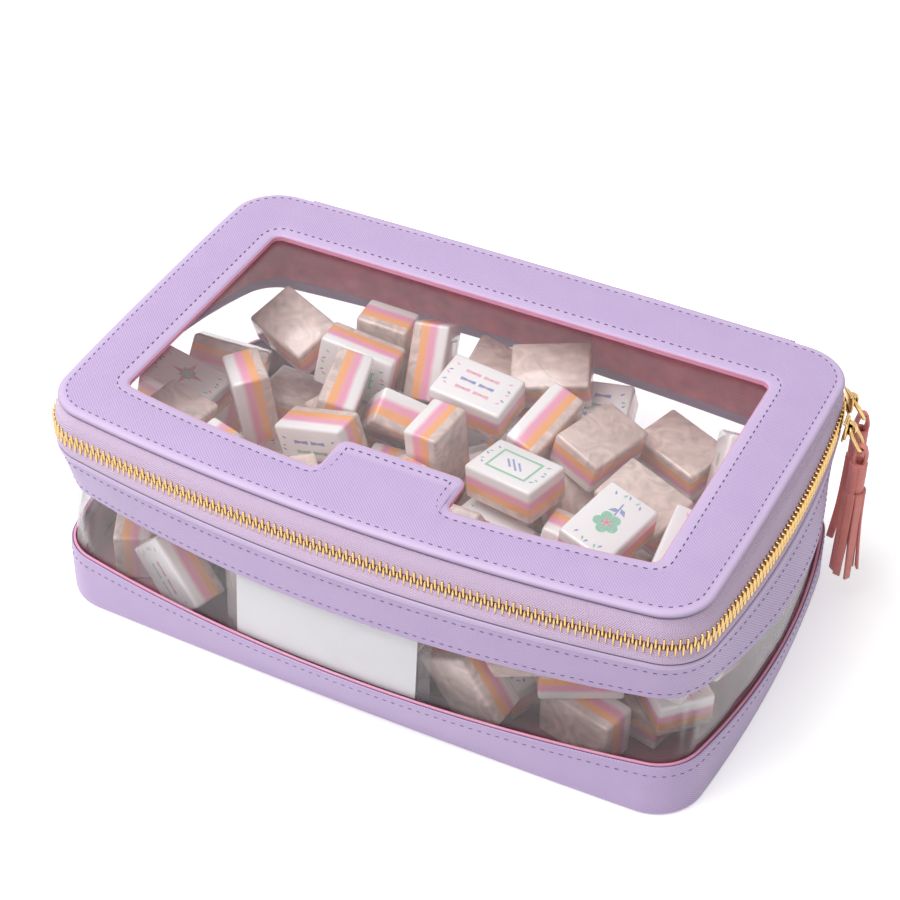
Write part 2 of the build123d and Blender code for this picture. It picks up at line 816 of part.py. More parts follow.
def rest_heights(turns, spots, heap, kept_clear, top):
    """Heights at which each try's box may rest, with infinity for those at which it may not.

    A box may rest on the floor or at the upper end of any stretch that a tile of the heap
    blocks, as long as nothing else blocks it there and it stays inside the case. The places
    kept clear block it too, but don't carry it.
    """
    half = np.array([tile_length, tile_width, tile_thickness]) / 2 + tile_spacing / 2
    corners = np.einsum("tij,cj->tci", turns, box_signs * half)
    rest = floor_top + tile_floor_gap - corners[..., 2].min(axis=1)
    low, high = blocked_heights(turns, spots, half, *heap)
    options = np.concatenate([rest[:, None], high + 1e-6], axis=1)
    clear_low, clear_high = blocked_heights(turns, spots, half, *kept_clear)
    low = np.concatenate([low, clear_low], axis=1)
    high = np.concatenate([high, clear_high], axis=1)
    inside = (options[:, :, None] > low[:, None]) & (options[:, :, None] < high[:, None])
    taken = inside.any(axis=2) | (options < rest[:, None]) | ~np.isfinite(options)
    heights = np.where(taken, 2 * lid_top_height, options)
    points = np.empty(heights.shape + (8, 3))
    points[..., :2] = corners[:, None, :, :2] + spots[:, None, None]
    points[..., 2] = corners[:, None, :, 2] + heights[..., None]
    fits = inside_case(points).all(axis=2) & (points[..., 2].max(axis=2) < top(points))
    return np.where(fits, heights, np.inf)


def lowest(heights):
    """Number of the try whose box rests lowest, and its height."""
    best = np.unravel_index(np.argmin(heights), heights.shape)
    return best[0], heights[best]


def near_spot(places, spot, reach):
    """Those of the places that lie within reach of a spot in plan."""
    around = np.hypot(*(places[0][:, :2] - spot).T) < reach
    return places[0][around], places[1][around]


def with_tile(heap, spot, height, turn):
    """The heap with one more tile."""
    centres = np.vstack([heap[0], [spot[0], spot[1], height]])
    return centres, np.concatenate([heap[1], turn[None]])


def with_loose_tiles(heap, rng, count, kept_clear):
    """The heap filled up with loose tiles, up to a count or until no more find room.

    Each tile drops to the lowest rest of many tries, then takes small turns and steps for as
    long as they let it lie lower.
    """
    half_plan = np.array([case_width, case_depth]) / 2
    lying = round(lying_share * tile_tries)
    settling_tries = tile_tries // 2
    misses = 0
    while len(heap[0]) < count and misses < tile_misses:
        turns = np.concatenate([random_turns(rng, tile_tries - lying), lying_turns(rng, lying)])
        spots = (2 * rng.random((tile_tries, 2)) - 1) * half_plan
        best, height = lowest(rest_heights(turns, spots, heap, kept_clear, heap_top))
        if not np.isfinite(height):
            misses += 1
            continue
        turn, spot = turns[best], spots[best]
        near_heap = near_spot(heap, spot, tile_length + tile_width)
        near_clear = near_spot(kept_clear, spot, tile_length + tile_width)
        for step in tile_settling:
            turns = small_turns(rng, settling_tries, step / 10) @ turn
            spots = spot + step * (2 * rng.random((settling_tries, 2)) - 1)
            best, lower = lowest(rest_heights(turns, spots, near_heap, near_clear, heap_top))
            if lower < height:
                turn, spot, height = turns[best], spots[best], lower
        heap = with_tile(heap, spot, height, turn)
    return heap


def with_top_tile(heap, rng, centre, turn):
    """The heap with one top tile, slid and tilted as little as lets it rest on what is there.

    A few small steps then let it settle.
    """
    way = np.array(sliding_way)
    nothing = (np.empty((0, 3)), np.empty((0, 3, 3)))
    near_heap = near_spot(heap, centre[:2], tile_length + tile_width + sliding_range[1])
    turns = small_turns(rng, laying_tries, laying_lean) @ turn
    turns[::4] = turn
    slides = rng.uniform(*sliding_range, laying_tries)
    play = laying_play * (2 * rng.random((laying_tries, 2)) - 1)
    spots = centre[:2] + slides[:, None] * way[:2] + play
    heights = rest_heights(turns, spots, near_heap, nothing, case_top)
    tilts = np.linalg.norm(turns - turn, axis=(1, 2))
    miss = np.abs(heights - (centre[2] + slides * way[2])[:, None])
    miss += (slide_penalty * np.abs(slides) + tilt_penalty * tilts)[:, None]
    best = np.unravel_index(np.argmin(miss), miss.shape)
    if not np.isfinite(heights[best]):
        return heap
    turn, spot, height = turns[best[0]], spots[best[0]], heights[best]
    settling_tries = laying_tries // 3
    for step in laying_steps:
        turns = small_turns(rng, settling_tries, step / 20) @ turn
        spots = spot + step * (2 * rng.random((settling_tries, 2)) - 1)
        heights = rest_heights(turns, spots, near_heap, nothing, case_top)
        heights[heights < height - laying_drop] = np.inf
        best, lower = lowest(heights)
        if lower < height:
            turn, spot, height = turns[best], spots[best], lower
    return with_tile(heap, spot, height, turn)


def tile_heap(count):
    """Centres and turns of the heap: loose tiles under the top ones, the top ones, and the rest.

    The tries come from a fixed seed.
    """
    rng = np.random.default_rng(tile_seed)
    nothing = (np.empty((0, 3)), np.empty((0, 3, 3)))
    top = top_tile_places()
    heap = with_loose_tiles(nothing, rng, count - len(top_tiles), top)
    for centre, turn in zip(*top):
        heap = with_top_tile(heap, rng, centre, turn)
    return with_loose_tiles(heap, rng, count, nothing)


def tile_parts():
    """The tiles by suit, dealt through the heap, each suit with its share of what finds room."""
    tile = Box(tile_length, tile_width, tile_thickness)
    tile = chamfer(tile.edges(), tile_edge)
    set_size = sum(tile_sets.values())
    centres, turns = tile_heap(set_size)
    order = np.random.default_rng(tile_seed).permutation(len(centres))
    parts = {}
    dealt = 0
    for name, size in tile_sets.items():
        group = []
        first = round(dealt / set_size * len(centres))
        last = round((dealt + size) / set_size * len(centres))
        for i in order[first:last]:
            x_axis = tuple(float(v) for v in turns[i][:, 0])
            z_axis = tuple(float(v) for v in turns[i][:, 2])
            origin = tuple(float(v) for v in centres[i])
            group.append(Plane(origin=origin, x_dir=x_axis, z_dir=z_axis).location * tile)
        parts[name] = Compound(children=group)
        dealt += size
    return parts


def build():
    """Every piece of the bag by name."""
    parts = {}
    parts.update(base_parts())
    parts.update(lower_wall_parts())
    parts.update(clear_wall_parts())
    parts.update(upper_wall_parts())
    parts.update(hinge_parts())
    parts.update(zip_parts())
    parts.update(lid_parts())
    parts.update(slider_parts())
    parts.update(label_card())
    parts.update(tile_parts())
    return parts


os.makedirs("parts", exist_ok=True)
for node, shape in build().items():
    export_step(shape, f"parts/{node}.step")
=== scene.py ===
import json
import math

import bpy
import numpy as np
from bpy.props import FloatProperty, FloatVectorProperty, IntProperty, PointerProperty
from mathutils import Matrix, Vector


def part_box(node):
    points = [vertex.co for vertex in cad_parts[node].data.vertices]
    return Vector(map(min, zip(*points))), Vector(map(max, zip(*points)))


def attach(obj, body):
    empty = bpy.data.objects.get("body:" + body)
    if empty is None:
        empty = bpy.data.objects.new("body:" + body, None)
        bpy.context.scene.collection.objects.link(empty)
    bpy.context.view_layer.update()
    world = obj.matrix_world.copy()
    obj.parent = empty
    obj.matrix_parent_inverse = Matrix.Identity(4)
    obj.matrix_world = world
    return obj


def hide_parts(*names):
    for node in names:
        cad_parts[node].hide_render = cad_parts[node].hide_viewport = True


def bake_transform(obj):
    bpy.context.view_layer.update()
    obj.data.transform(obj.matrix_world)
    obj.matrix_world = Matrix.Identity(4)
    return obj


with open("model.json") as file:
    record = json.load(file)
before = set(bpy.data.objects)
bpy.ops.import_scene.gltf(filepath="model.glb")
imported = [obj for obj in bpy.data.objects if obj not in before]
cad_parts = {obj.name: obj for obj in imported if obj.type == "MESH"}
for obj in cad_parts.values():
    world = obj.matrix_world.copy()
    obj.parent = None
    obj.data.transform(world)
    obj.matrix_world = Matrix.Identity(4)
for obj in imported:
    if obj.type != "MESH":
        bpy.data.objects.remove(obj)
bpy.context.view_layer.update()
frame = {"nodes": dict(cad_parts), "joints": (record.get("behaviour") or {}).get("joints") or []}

bl_info = {
    "name": "Zipped tile bag",
    "version": (1, 0, 0),
    "blender": (4, 5, 0),
    "location": "View3D > Sidebar > Tile Bag",
    "description": "Dresses a clear-walled zipped bag of game tiles around its packed frame",
    "category": "Mesh",
}

# Lengths are in metres, written as so many millimetres. Azimuths and turns of the plan are
# anticlockwise seen from above.
MM = 0.001
JOINTS = {joint["name"]: joint for joint in frame["joints"]}

# Heights of the seams, from the frame
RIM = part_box("lower_band")[1].z
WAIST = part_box("upper_band")[0].z
BAND_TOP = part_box("upper_band_edge_roll")[1].z
LID_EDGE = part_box("lid_edge_roll")[0].z
LID_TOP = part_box("lid_panel")[1].z
PANEL_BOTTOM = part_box("lid_panel")[0].z
ZIP = (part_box("lower_zip_teeth")[1].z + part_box("upper_zip_teeth")[0].z) / 2
STRIP_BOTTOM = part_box("hinge_strip_lower")[0].z
STRIP_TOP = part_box("hinge_strip_upper")[1].z
STRIP_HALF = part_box("hinge_strip_lower")[1].x

# Plan of the bag, as the frame has it
CASE_HALF_WIDTH = 130 * MM
CASE_HALF_DEPTH = 80 * MM
CORNER_RADIUS = 20 * MM
BACK_BULGE = 1.6 * MM
WAIST_INSET = 5.4 * MM
BAND_INSET = 0.5 * MM
RIM_INSET = 1.1 * MM
BASE_INSET = -1.2 * MM

# Each level's height, inset, and front, side and back bow
LEVELS = np.array([
    (0.0, BASE_INSET, 1.7 * MM, 5.7 * MM, BACK_BULGE + BASE_INSET),
    (RIM, RIM_INSET, 13.9 * MM, 11.3 * MM, BACK_BULGE + RIM_INSET),
    (WAIST, WAIST_INSET, 16.0 * MM, 17.1 * MM, BACK_BULGE + WAIST_INSET),
    (BAND_TOP, BAND_INSET, 12.9 * MM, 7.5 * MM, BACK_BULGE + BAND_INSET),
    (ZIP, 0.0, 11.1 * MM, 7.1 * MM, BACK_BULGE),
    (LID_EDGE, 0.0, 10.2 * MM, 2.4 * MM, BACK_BULGE),
    (LID_TOP, 0.0, 10.2 * MM, 2.4 * MM, BACK_BULGE),
]).T

# Sheets and edges
LEATHER = 1.8 * MM
SATIN = 0.6 * MM
VINYL = 0.6 * MM
LINING = LEATHER + 0.1 * MM
CLEAR_OFFSET = 2.0 * MM
SEAM_OVERLAP = 4.6 * MM
FLOOR_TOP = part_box("base_lining")[1].z

# The lid's rolled edge, and how far it stands in from the plan except at the hinge
EDGE_BOTTOM = LID_TOP - 2.4 * MM
EDGE_INSET = 1.9 * MM

# Window of the lid
WINDOW_HALF = 106.5 * MM
WINDOW_FRONT = -57.5 * MM
WINDOW_BACK = 53.0 * MM
WINDOW_BOW = 9.5 * MM
WINDOW_RADIUS = 4.0 * MM
TAB_CENTRE = 5.0 * MM
TAB_HALF = 25.0 * MM
TAB_REACH = 18.5 * MM


def srgb(red, green, blue):
    """Linear colour of a screen colour given in 0 to 255."""
    parts = np.array([red, green, blue]) / 255
    return tuple(np.where(parts < 0.04045, parts / 12.92, ((parts + 0.055) / 1.055) ** 2.4))


def colour_property(name, description, default):
    return FloatVectorProperty(
        name=name, description=description, subtype="COLOR", size=3, min=0, max=1, default=default
    )


def length_property(name, description, default):
    return FloatProperty(name=name, description=description, unit="LENGTH", default=default, min=0)


class LeatherSettings(bpy.types.PropertyGroup):
    """The embossed leather of the bands, the lid and the hinge strip."""

    colour: colour_property("Colour", "Colour of the leather", srgb(216, 196, 227))
    shade: colour_property("Shade", "Colour in the grain's grooves", srgb(168, 141, 194))
    # Painted shade: the colour that the seams' creases are darkened to, standing in for their shadow
    crease_shade: colour_property("Crease", "Colour deep in the seams' creases", srgb(84, 58, 98))
    grain_pitch: length_property("Grain pitch", "Distance between the grain's diagonal lines", 0.87 * MM)
    grain_depth: length_property("Grain depth", "Depth of the grain's grooves", 0.07 * MM)


class TrimSettings(bpy.types.PropertyGroup):
    """Painted edges, satin linings and the insert card."""

    edge: colour_property("Painted edge", "Colour of the painted leather edges", srgb(232, 160, 190))
    satin: colour_property("Satin", "Colour of the satin linings", srgb(238, 124, 146))
    # Painted shade: the colour that the satin's folds are darkened to
    satin_fold_shade: colour_property("Satin folds", "Colour of the satin in its folds", srgb(178, 72, 102))
    card: colour_property("Card", "Colour of the insert card", srgb(242, 242, 244))
    board: colour_property("Board", "Colour of the board in the base", srgb(150, 148, 144))


class ZipSettings(bpy.types.PropertyGroup):
    """The zip's tape and metal."""

    tape: colour_property("Tape", "Colour of the woven tape", srgb(238, 215, 238))
    tape_shade: colour_property("Tape shade", "Colour between the tape's threads", srgb(168, 132, 186))
    metal: colour_property("Metal", "Colour of the polished metal", srgb(236, 206, 148))
    tooth_pitch: length_property("Tooth pitch", "Distance between teeth on one tape", 2.6 * MM)
    tooth_height: length_property("Tooth height", "Height of a tooth, from its tape to its tip", 4.7 * MM)


class ThreadSettings(bpy.types.PropertyGroup):
    """The stitching."""

    colour: colour_property("Colour", "Colour of the thread", srgb(104, 82, 138))
    pitch: length_property("Pitch", "Distance from stitch to stitch", 3.4 * MM)
    length: length_property("Length", "Length of a stitch", 1.6 * MM)
    width: length_property("Width", "Width of the thread", 0.42 * MM)


class TileSettings(bpy.types.PropertyGroup):
    """The layered tiles."""

    face: colour_property("Face", "Colour of the face layer", srgb(250, 246, 245))
    second: colour_property("Second layer", "Colour of the second layer", srgb(245, 166, 194))
    third: colour_property("Third layer", "Colour of the third layer", srgb(253, 178, 112))
    back: colour_property("Back layer", "Colour of the milky back layer", srgb(232, 210, 200))
    edge_radius: length_property("Edge radius", "Rounding of the tile's edges", 1.5 * MM)
    seed: IntProperty(name="Seed", description="Picks which way each tile faces", default=4, min=0)


class TasselSettings(bpy.types.PropertyGroup):
    """The tassels of the two pulls."""

    colour: colour_property("Colour", "Colour of the tassel leather", srgb(238, 152, 142))
    shade: colour_property("Shade", "Colour in the tassel leather's grain", srgb(204, 108, 102))
    head_radius: length_property("Head radius", "Radius of the wrapped head", 4.1 * MM)
    strips: IntProperty(name="Strips", description="Cut strips in the outer layer", default=7, min=3)


class BagSettings(bpy.types.PropertyGroup):
    """All the settings of the bag."""

    leather: PointerProperty(type=LeatherSettings, name="Leather", description="Embossed leather")
    trim: PointerProperty(type=TrimSettings, name="Trim", description="Edges, satin and card")
    zip: PointerProperty(type=ZipSettings, name="Zip", description="Tape and metal")
    thread: PointerProperty(type=ThreadSettings, name="Thread", description="Stitching")
    tiles: PointerProperty(type=TileSettings, name="Tiles", description="Layered tiles")
    tassel: PointerProperty(type=TasselSettings, name="Tassel", description="Tassels of the pulls")


def settings():
    return bpy.context.scene.tile_bag


# The plan and the shapes that follow it


def level_values(z):
    """Half width, half depth and the front, side and back bows of the plan at heights z."""
    inset, front, side, back = [np.interp(z, LEVELS[0], row) for row in LEVELS[1:]]
    return CASE_HALF_WIDTH - inset, CASE_HALF_DEPTH - inset, front, side, back


def bowed_side(half_chord, bow, reach):
    """Radius of a bowed side, and how far its centre lies from the middle: chord and bow give it."""
    radius = (half_chord**2 + bow**2) / (2 * bow)
    return radius, reach + bow - radius


def corner_centre(side_x, side_radius, end_y, end_radius):
    """Centre of the corner circle that touches both arcs from inside, where two circles cross."""
    p, q = side_radius - CORNER_RADIUS, end_radius - CORNER_RADIUS
    span = np.hypot(side_x, end_y)
    along = (span**2 + p**2 - q**2) / (2 * span)
    across = np.sqrt(p**2 - along**2)
    ux, uy = -side_x / span, end_y / span
    first = np.stack([side_x + ux * along - uy * across, uy * along + ux * across])
    second = np.stack([side_x + ux * along + uy * across, uy * along - ux * across])
    return np.where(first[0] > second[0], first, second)


def plan_arcs(z):
    """The plan's eight arcs at heights z: centre x, centre y, radius, first and last angle.

    They run anticlockwise from the right side: side, corner, back, corner, side, corner, front,
    corner.
    """
    half_width, half_depth, front, side, back = level_values(z)
    side_radius, side_x = bowed_side(half_depth, side, half_width)
    front_radius, front_reach = bowed_side(half_width, front, half_depth)
    back_radius, back_reach = bowed_side(half_width, back, half_depth)
    bx, by = corner_centre(side_x, side_radius, back_reach, back_radius)
    fx, fy = corner_centre(side_x, side_radius, -front_reach, front_radius)
    up = np.arctan2(by, bx - side_x)
    top = np.arctan2(by - back_reach, bx)
    down = np.arctan2(fy, fx - side_x)
    low = np.arctan2(fy + front_reach, fx)
    zero, pi = np.zeros_like(side_x), np.pi
    corner = zero + CORNER_RADIUS
    return np.stack([
        np.stack([side_x, bx, zero, -bx, -side_x, -fx, zero, fx]),
        np.stack([zero, by, back_reach, by, zero, fy, -front_reach, fy]),
        np.stack([side_radius, corner, back_radius, corner, side_radius, corner, front_radius, corner]),
        np.stack([down, up, top, pi - top, pi - up, pi - down, pi - low, low]),
        np.stack([up, top, pi - top, pi - up, pi - down, pi - low, 2 * pi + low, down]),
    ])


def wall(turn, z, offset=0.0):
    """Points of the wall and their outward directions, from the turn round the plan.

    Each whole step of the turn is one arc, and an offset shortens the arc's radius.
    """
    turn, z, offset = np.broadcast_arrays(np.asarray(turn, float), z, offset)
    index = (np.floor(turn).astype(int) % 8)[None]
    cx, cy, radius, first, last = [np.take_along_axis(row, index, 0)[0] for row in plan_arcs(z)]
    angle = first + (turn % 1) * (last - first)
    cosine, sine = np.cos(angle), np.sin(angle)
    reach = radius - offset
    points = np.stack([cx + reach * cosine, cy + reach * sine, z], -1)
    return points, np.stack([cosine, sine, np.zeros_like(cosine)], -1)


def front_turn(x, z):
    """The turn at which the front's arc passes x."""
    _, _, radius, first, last = plan_arcs(np.asarray(z, float))[:, 6]
    return 6 + (2 * np.pi - np.arccos(x / radius) - first) / (last - first)


def back_turn(x, z):
    """The turn at which the back's arc passes x."""
    _, _, radius, first, last = plan_arcs(np.asarray(z, float))[:, 2]
    return 2 + (np.arccos(x / radius) - first) / (last - first)


def lid_inset(turn):
    """How far the lid's edge stands in: in full round the front and sides, none at the hinge."""
    share = np.clip((np.abs(np.asarray(turn, float) % 8 - 2.5) - 1.3) / 0.8, 0, 1)
    return EDGE_INSET * share * share * (3 - 2 * share)


# Steps on each of the plan's arcs, in the order of plan_arcs
ARC_STEPS = (64, 20, 112, 20, 64, 20, 112, 20)


def round_turns():
    """Turns of one round of the plan, about 2 mm apart, from the middle of the back."""
    turns = np.concatenate([k + np.arange(n) / n for k, n in enumerate(ARC_STEPS)])
    middle = int(np.searchsorted(turns, 2.5))
    return np.concatenate([turns[middle:], turns[:middle] + 8])


def open_turns():
    """Turns of the zip's route, from the back left round the front to the back right."""
    left = float(back_turn(-STRIP_HALF, ZIP))
    right = float(back_turn(STRIP_HALF, ZIP)) + 8
    turns = round_turns()
    inner = turns[(turns > left + 0.01) & (turns < right - 0.01)]
    return np.concatenate([[left], inner, [right]])


def unit(vectors):
    """The directions of some vectors."""
    return vectors / np.linalg.norm(vectors, axis=-1, keepdims=True)


def rounded_outline(corners, radii, steps=5, spacing=None):
    """Closed outline through corners, each rounded by a tangent arc, with at most a spacing between."""
    corners = np.array(corners, float)
    radii = np.broadcast_to(radii, len(corners))
    parts = []
    for i, corner in enumerate(corners):
        back, ahead = unit(corners[[i - 1, (i + 1) % len(corners)]] - corner)
        half = math.acos(np.clip(back @ ahead, -1, 1)) / 2
        reach = radii[i] / math.tan(half)
        centre = corner + unit(back + ahead) * radii[i] / math.sin(half)
        start, end = corner + back * reach - centre, corner + ahead * reach - centre
        share = np.linspace(0, 1, steps)[:, None]
        angle = np.pi - 2 * half
        arc = (start * np.sin((1 - share) * angle) + end * np.sin(share * angle)) / math.sin(angle)
        parts.append(centre + arc)
    points = np.concatenate(parts)
    return spaced(points, spacing, closed=True) if spacing else points


def sheet_outline(outer, inner, low, high, rounding, steps=3, spacing=None):
    """Section of an upright sheet between two offsets and two heights."""
    corners = [(outer, low), (outer, high), (inner, high), (inner, low)]
    return rounded_outline(corners, rounding, steps, spacing)


def lengths_along(points, closed=False):
    """Distance travelled at each point of a line, and at its end if it is closed."""
    if closed:
        points = np.concatenate([points, points[:1]])
    return np.concatenate([[0], np.cumsum(np.linalg.norm(np.diff(points, axis=0), axis=1))])


def sampled(at, travelled, points):
    """A line's points at some distances along it, by straight lines between the given ones."""
    return np.stack([np.interp(at, travelled, column) for column in points.T], 1)


def spaced(points, spacing, closed=False):
    """The line with more points wherever two lie further apart than the spacing."""
    travelled = lengths_along(points, closed)
    ring = np.concatenate([points, points[:1]]) if closed else points
    counts = np.ceil(np.diff(travelled) / spacing).astype(int)
    starts = np.repeat(travelled[:-1], counts)
    place = np.arange(counts.sum()) - np.repeat(np.cumsum(counts) - counts, counts)
    at = starts + place * np.repeat(np.diff(travelled) / np.maximum(counts, 1), counts)
    if not closed:
        at = np.append(at, travelled[-1])
    return sampled(at, travelled, ring)


def ripple(u, v, seed, waves=6):
    """A smooth uneven height from -1 to 1: a sum of sine waves in random directions."""
    slope = 0.35
    rng = np.random.default_rng(seed)
    total = 0
    for k in range(waves):
        angle, phase = rng.uniform(0, 2 * np.pi, 2)
        step = 1 + slope * k
        total = total + np.sin(step * (u * np.cos(angle) + v * np.sin(angle)) + phase) / step
    return total / sum(1 / (1 + slope * k) for k in range(waves))


# Meshes


def grid_cells(rows, columns, wrap_rows, wrap_columns):
    """Corner numbers of each cell of a grid, and the same corners on the unwrapped grid."""
    r = np.arange(rows if wrap_rows else rows - 1)
    c = np.arange(columns if wrap_columns else columns - 1)
    r, c = np.meshgrid(r, c, indexing="ij")
    rr = np.stack([r, r, r + 1, r + 1], -1).reshape(-1, 4)
    cc = np.stack([c, c + 1, c + 1, c], -1).reshape(-1, 4)
    return (rr % rows) * columns + cc % columns, rr * (columns + 1) + cc


def linked(name, data):
    """An object of some data, linked to the scene."""
    piece = bpy.data.objects.new(name, data)
    bpy.context.scene.collection.objects.link(piece)
    return piece


def mesh_piece(name, points, faces, material, uv=None, smooth=True, marks=None):
    """A mesh object of points and lists of faces, with a UV per corner and values per point."""
    mesh = bpy.data.meshes.new(name)
    points = np.asarray(points, float).reshape(-1, 3)
    loops = np.concatenate([f.ravel() for f in faces]).astype(np.int32)
    sizes = np.concatenate([np.full(len(f), f.shape[1]) for f in faces])
    starts = np.concatenate([[0], np.cumsum(sizes)[:-1]]).astype(np.int32)
    mesh.vertices.add(len(points))
    mesh.vertices.foreach_set("co", points.ravel())
    mesh.loops.add(len(loops))
    mesh.loops.foreach_set("vertex_index", loops)
    mesh.polygons.add(len(sizes))
    mesh.polygons.foreach_set("loop_start", starts)
    mesh.update(calc_edges=True)
    if uv is not None:
        mesh.uv_layers.new(name="UVMap").uv.foreach_set("vector", np.asarray(uv, float).ravel())
    for mark, values in (marks or {}).items():
        values = np.asarray(values, float)
        kind = "FLOAT" if values.ndim == 1 else "FLOAT_COLOR"
        layer = mesh.attributes.new(mark, kind, "POINT")
        layer.data.foreach_set("value" if values.ndim == 1 else "color", values.ravel())
    mesh.polygons.foreach_set("use_smooth", np.full(len(sizes), smooth))
    mesh.validate()
    mesh.materials.append(material)
    return linked(name, mesh)


def at_height(flat, z):
    """Flat points set at one height, or each at its own."""
    return np.column_stack([flat, np.broadcast_to(z, len(flat))])


def end_caps(rows, columns):
    """The faces that close a tube of wrapped rows at its first and its last column."""
    ring = np.arange(rows) * columns
    return [ring[None], (ring + columns - 1)[::-1][None]]


def mesh_values(items, field, size, kind=float):
    """A field of a mesh's items as an array, one row for each item."""
    values = np.empty(len(items) * size, kind)
    items.foreach_get(field, values)
    return values.reshape(-1, size)


def grid_piece(name, points, material, wrap_rows=False, wrap_columns=False, caps=False, marks=None,
               smooth=True):
    """A piece of a grid of points, rows by columns, whose UV is the distance along both.

    Caps close the first and last column of a tube whose rows wrap.
    """
    rows, columns = points.shape[:2]
    cells, flat = grid_cells(rows, columns, wrap_rows, wrap_columns)
    u = lengths_along(points[rows // 4], wrap_columns)
    v = lengths_along(points[:, columns // 2], wrap_rows)
    u = np.append(u, u[-1]) if len(u) == columns else u
    v = np.append(v, v[-1]) if len(v) == rows else v
    uv = np.stack(np.meshgrid(u, v), -1).reshape(-1, 2)[flat.ravel()]
    faces = [cells]
    if caps:
        faces += end_caps(rows, columns)
        uv = np.concatenate([uv, np.zeros((2 * rows, 2))])
    return mesh_piece(name, points, faces, material, uv, smooth, marks)


def swept(name, turns, profile, material, shift=None, closed_path=True, marks=None):
    """A closed profile of offsets and heights carried round the plan, with a shift of the offset."""
    offsets, heights = np.asarray(profile).T
    turn, z = np.meshgrid(turns, heights)
    offset = offsets[:, None] + (shift(turn, z) if shift else 0)
    points, _ = wall(turn, z, offset)
    marks = {key: np.repeat(values, len(turns)) for key, values in (marks or {}).items()}
    return grid_piece(name, points, material, True, closed_path, not closed_path, marks)


def slab(name, points, thickness, material):
    """A sheet of a grid of points with a thickness below it, closed round its rim."""
    rows, columns = points.shape[:2]
    under = points - (0, 0, thickness)
    cells, _ = grid_cells(rows, columns, False, False)
    number = np.arange(rows * columns).reshape(rows, columns)
    rim = np.concatenate([number[0, :-1], number[:-1, -1], number[-1, :0:-1], number[:0:-1, 0]])
    after = np.roll(rim, -1)
    size = rows * columns
    edge = np.stack([after, rim, rim + size, after + size], -1)
    faces = [cells, cells[:, ::-1] + size, edge]
    both = np.concatenate([points.reshape(-1, 3), under.reshape(-1, 3)])
    uv = both[np.concatenate([f.ravel() for f in faces]), :2]
    return mesh_piece(name, both, faces, material, uv)


def scattered(template, faces, places, axes):
    """Copies of a small mesh: points and faces of the template at many places and axes."""
    points = places[:, None] + template @ axes
    shift = np.arange(len(places))[:, None, None] * len(template)
    return points.reshape(-1, 3), [(f[None] + shift).reshape(-1, f.shape[1]) for f in faces]


def ring_stack(radii_a, radii_b, heights, sides, roundness=1.0):
    """A closed small body of stacked rings: each is an ellipse, or squarer with less roundness."""
    angle = (np.arange(sides) + 0.5) / sides * 2 * np.pi
    cosine, sine = np.cos(angle), np.sin(angle)
    reach = (np.abs(cosine) ** (2 / roundness) + np.abs(sine) ** (2 / roundness)) ** (-roundness / 2)
    ring = np.stack([cosine * reach, sine * reach], -1)
    rings = [at_height(ring * (a, b), h) for a, b, h in zip(radii_a, radii_b, heights)]
    cells, _ = grid_cells(len(heights), sides, False, True)
    first = np.arange(sides)[::-1][None]
    last = (np.arange(sides) + sides * (len(heights) - 1))[None]
    return np.concatenate(rings), [cells, first, last]


def along_path(points, out, closed, pitch, offset=0.5):
    """Evenly spaced places on a line, each with its direction along, across and out."""
    travelled = lengths_along(points, closed)
    if closed:
        points = np.concatenate([points, points[:1]])
        out = np.concatenate([out, out[:1]])
    count = int(travelled[-1] / pitch + 0.5) if closed else int(travelled[-1] / pitch)
    at = (np.arange(count) + offset) * travelled[-1] / count
    place, out = sampled(at, travelled, points), sampled(at, travelled, out)
    step = 0.2 * MM
    along = unit(sampled(at + step, travelled, points) - sampled(at - step, travelled, points))
    across = unit(np.cross(out, along))
    return place, np.stack([along, across, np.cross(along, across)], 1)


def stitches(name, lines, body):
    """Rows of short threads lying on lines of points with their outward directions."""
    thread = settings().thread
    half, width = thread.length / 2, thread.width / 2
    girth = width * np.array([0.3, 1, 1, 0.3])
    template, faces = ring_stack(girth, girth, half * np.array([-1, -0.6, 0.6, 1]), 5)
    template = template[:, [2, 1, 0]] * (1, 1, -1)
    all_points, all_faces, used = [], [], 0
    for points, out, closed in lines:
        place, axes = along_path(points, out, closed, thread.pitch)
        copies, cells = scattered(template, faces, place, axes)
        all_points.append(copies)
        all_faces.append([f + used for f in cells])
        used += len(copies)
    groups = [np.concatenate(group) for group in zip(*all_faces)]
    piece = mesh_piece(name, np.concatenate(all_points), groups, material("thread"))
    finish_piece(piece, body, "lilac_leather")


# Materials


class Nodes:
    """The node tree of a material or a world, with short ways to add and join nodes."""

    def __init__(self, owner):
        owner.use_nodes = True
        self.tree = owner.node_tree

    def add(self, kind, inputs=None, **options):
        """A new node with its options and inputs."""
        node = self.tree.nodes.new(kind)
        for key, value in options.items():
            setattr(node, key, value)
        self.feed(node, inputs or {})
        return node

    def feed(self, node, inputs):
        """Gives inputs a value, or joins them to another node."""
        for key, value in inputs.items():
            if isinstance(value, bpy.types.NodeSocket):
                self.tree.links.new(value, node.inputs[key])
            elif isinstance(value, bpy.types.Node):
                self.tree.links.new(value.outputs[0], node.inputs[key])
            else:
                node.inputs[key].default_value = value

    def math(self, operation, a, b=0.0, c=0.0):
        """The value of a sum in one or more inputs."""
        return self.add("ShaderNodeMath", {0: a, 1: b, 2: c}, operation=operation).outputs[0]

    def fitted(self, value, scale, shift):
        """A value times a scale, plus a shift."""
        return self.math("MULTIPLY_ADD", value, scale, shift)

    def seen(self):
        """One for what is seen straight, in a mirror or through a clear piece, none for other light."""
        path = self.add("ShaderNodeLightPath")
        straight = self.math("MAXIMUM", path.outputs["Is Camera Ray"], path.outputs["Is Glossy Ray"])
        return self.math("MAXIMUM", straight, path.outputs["Is Transmission Ray"])


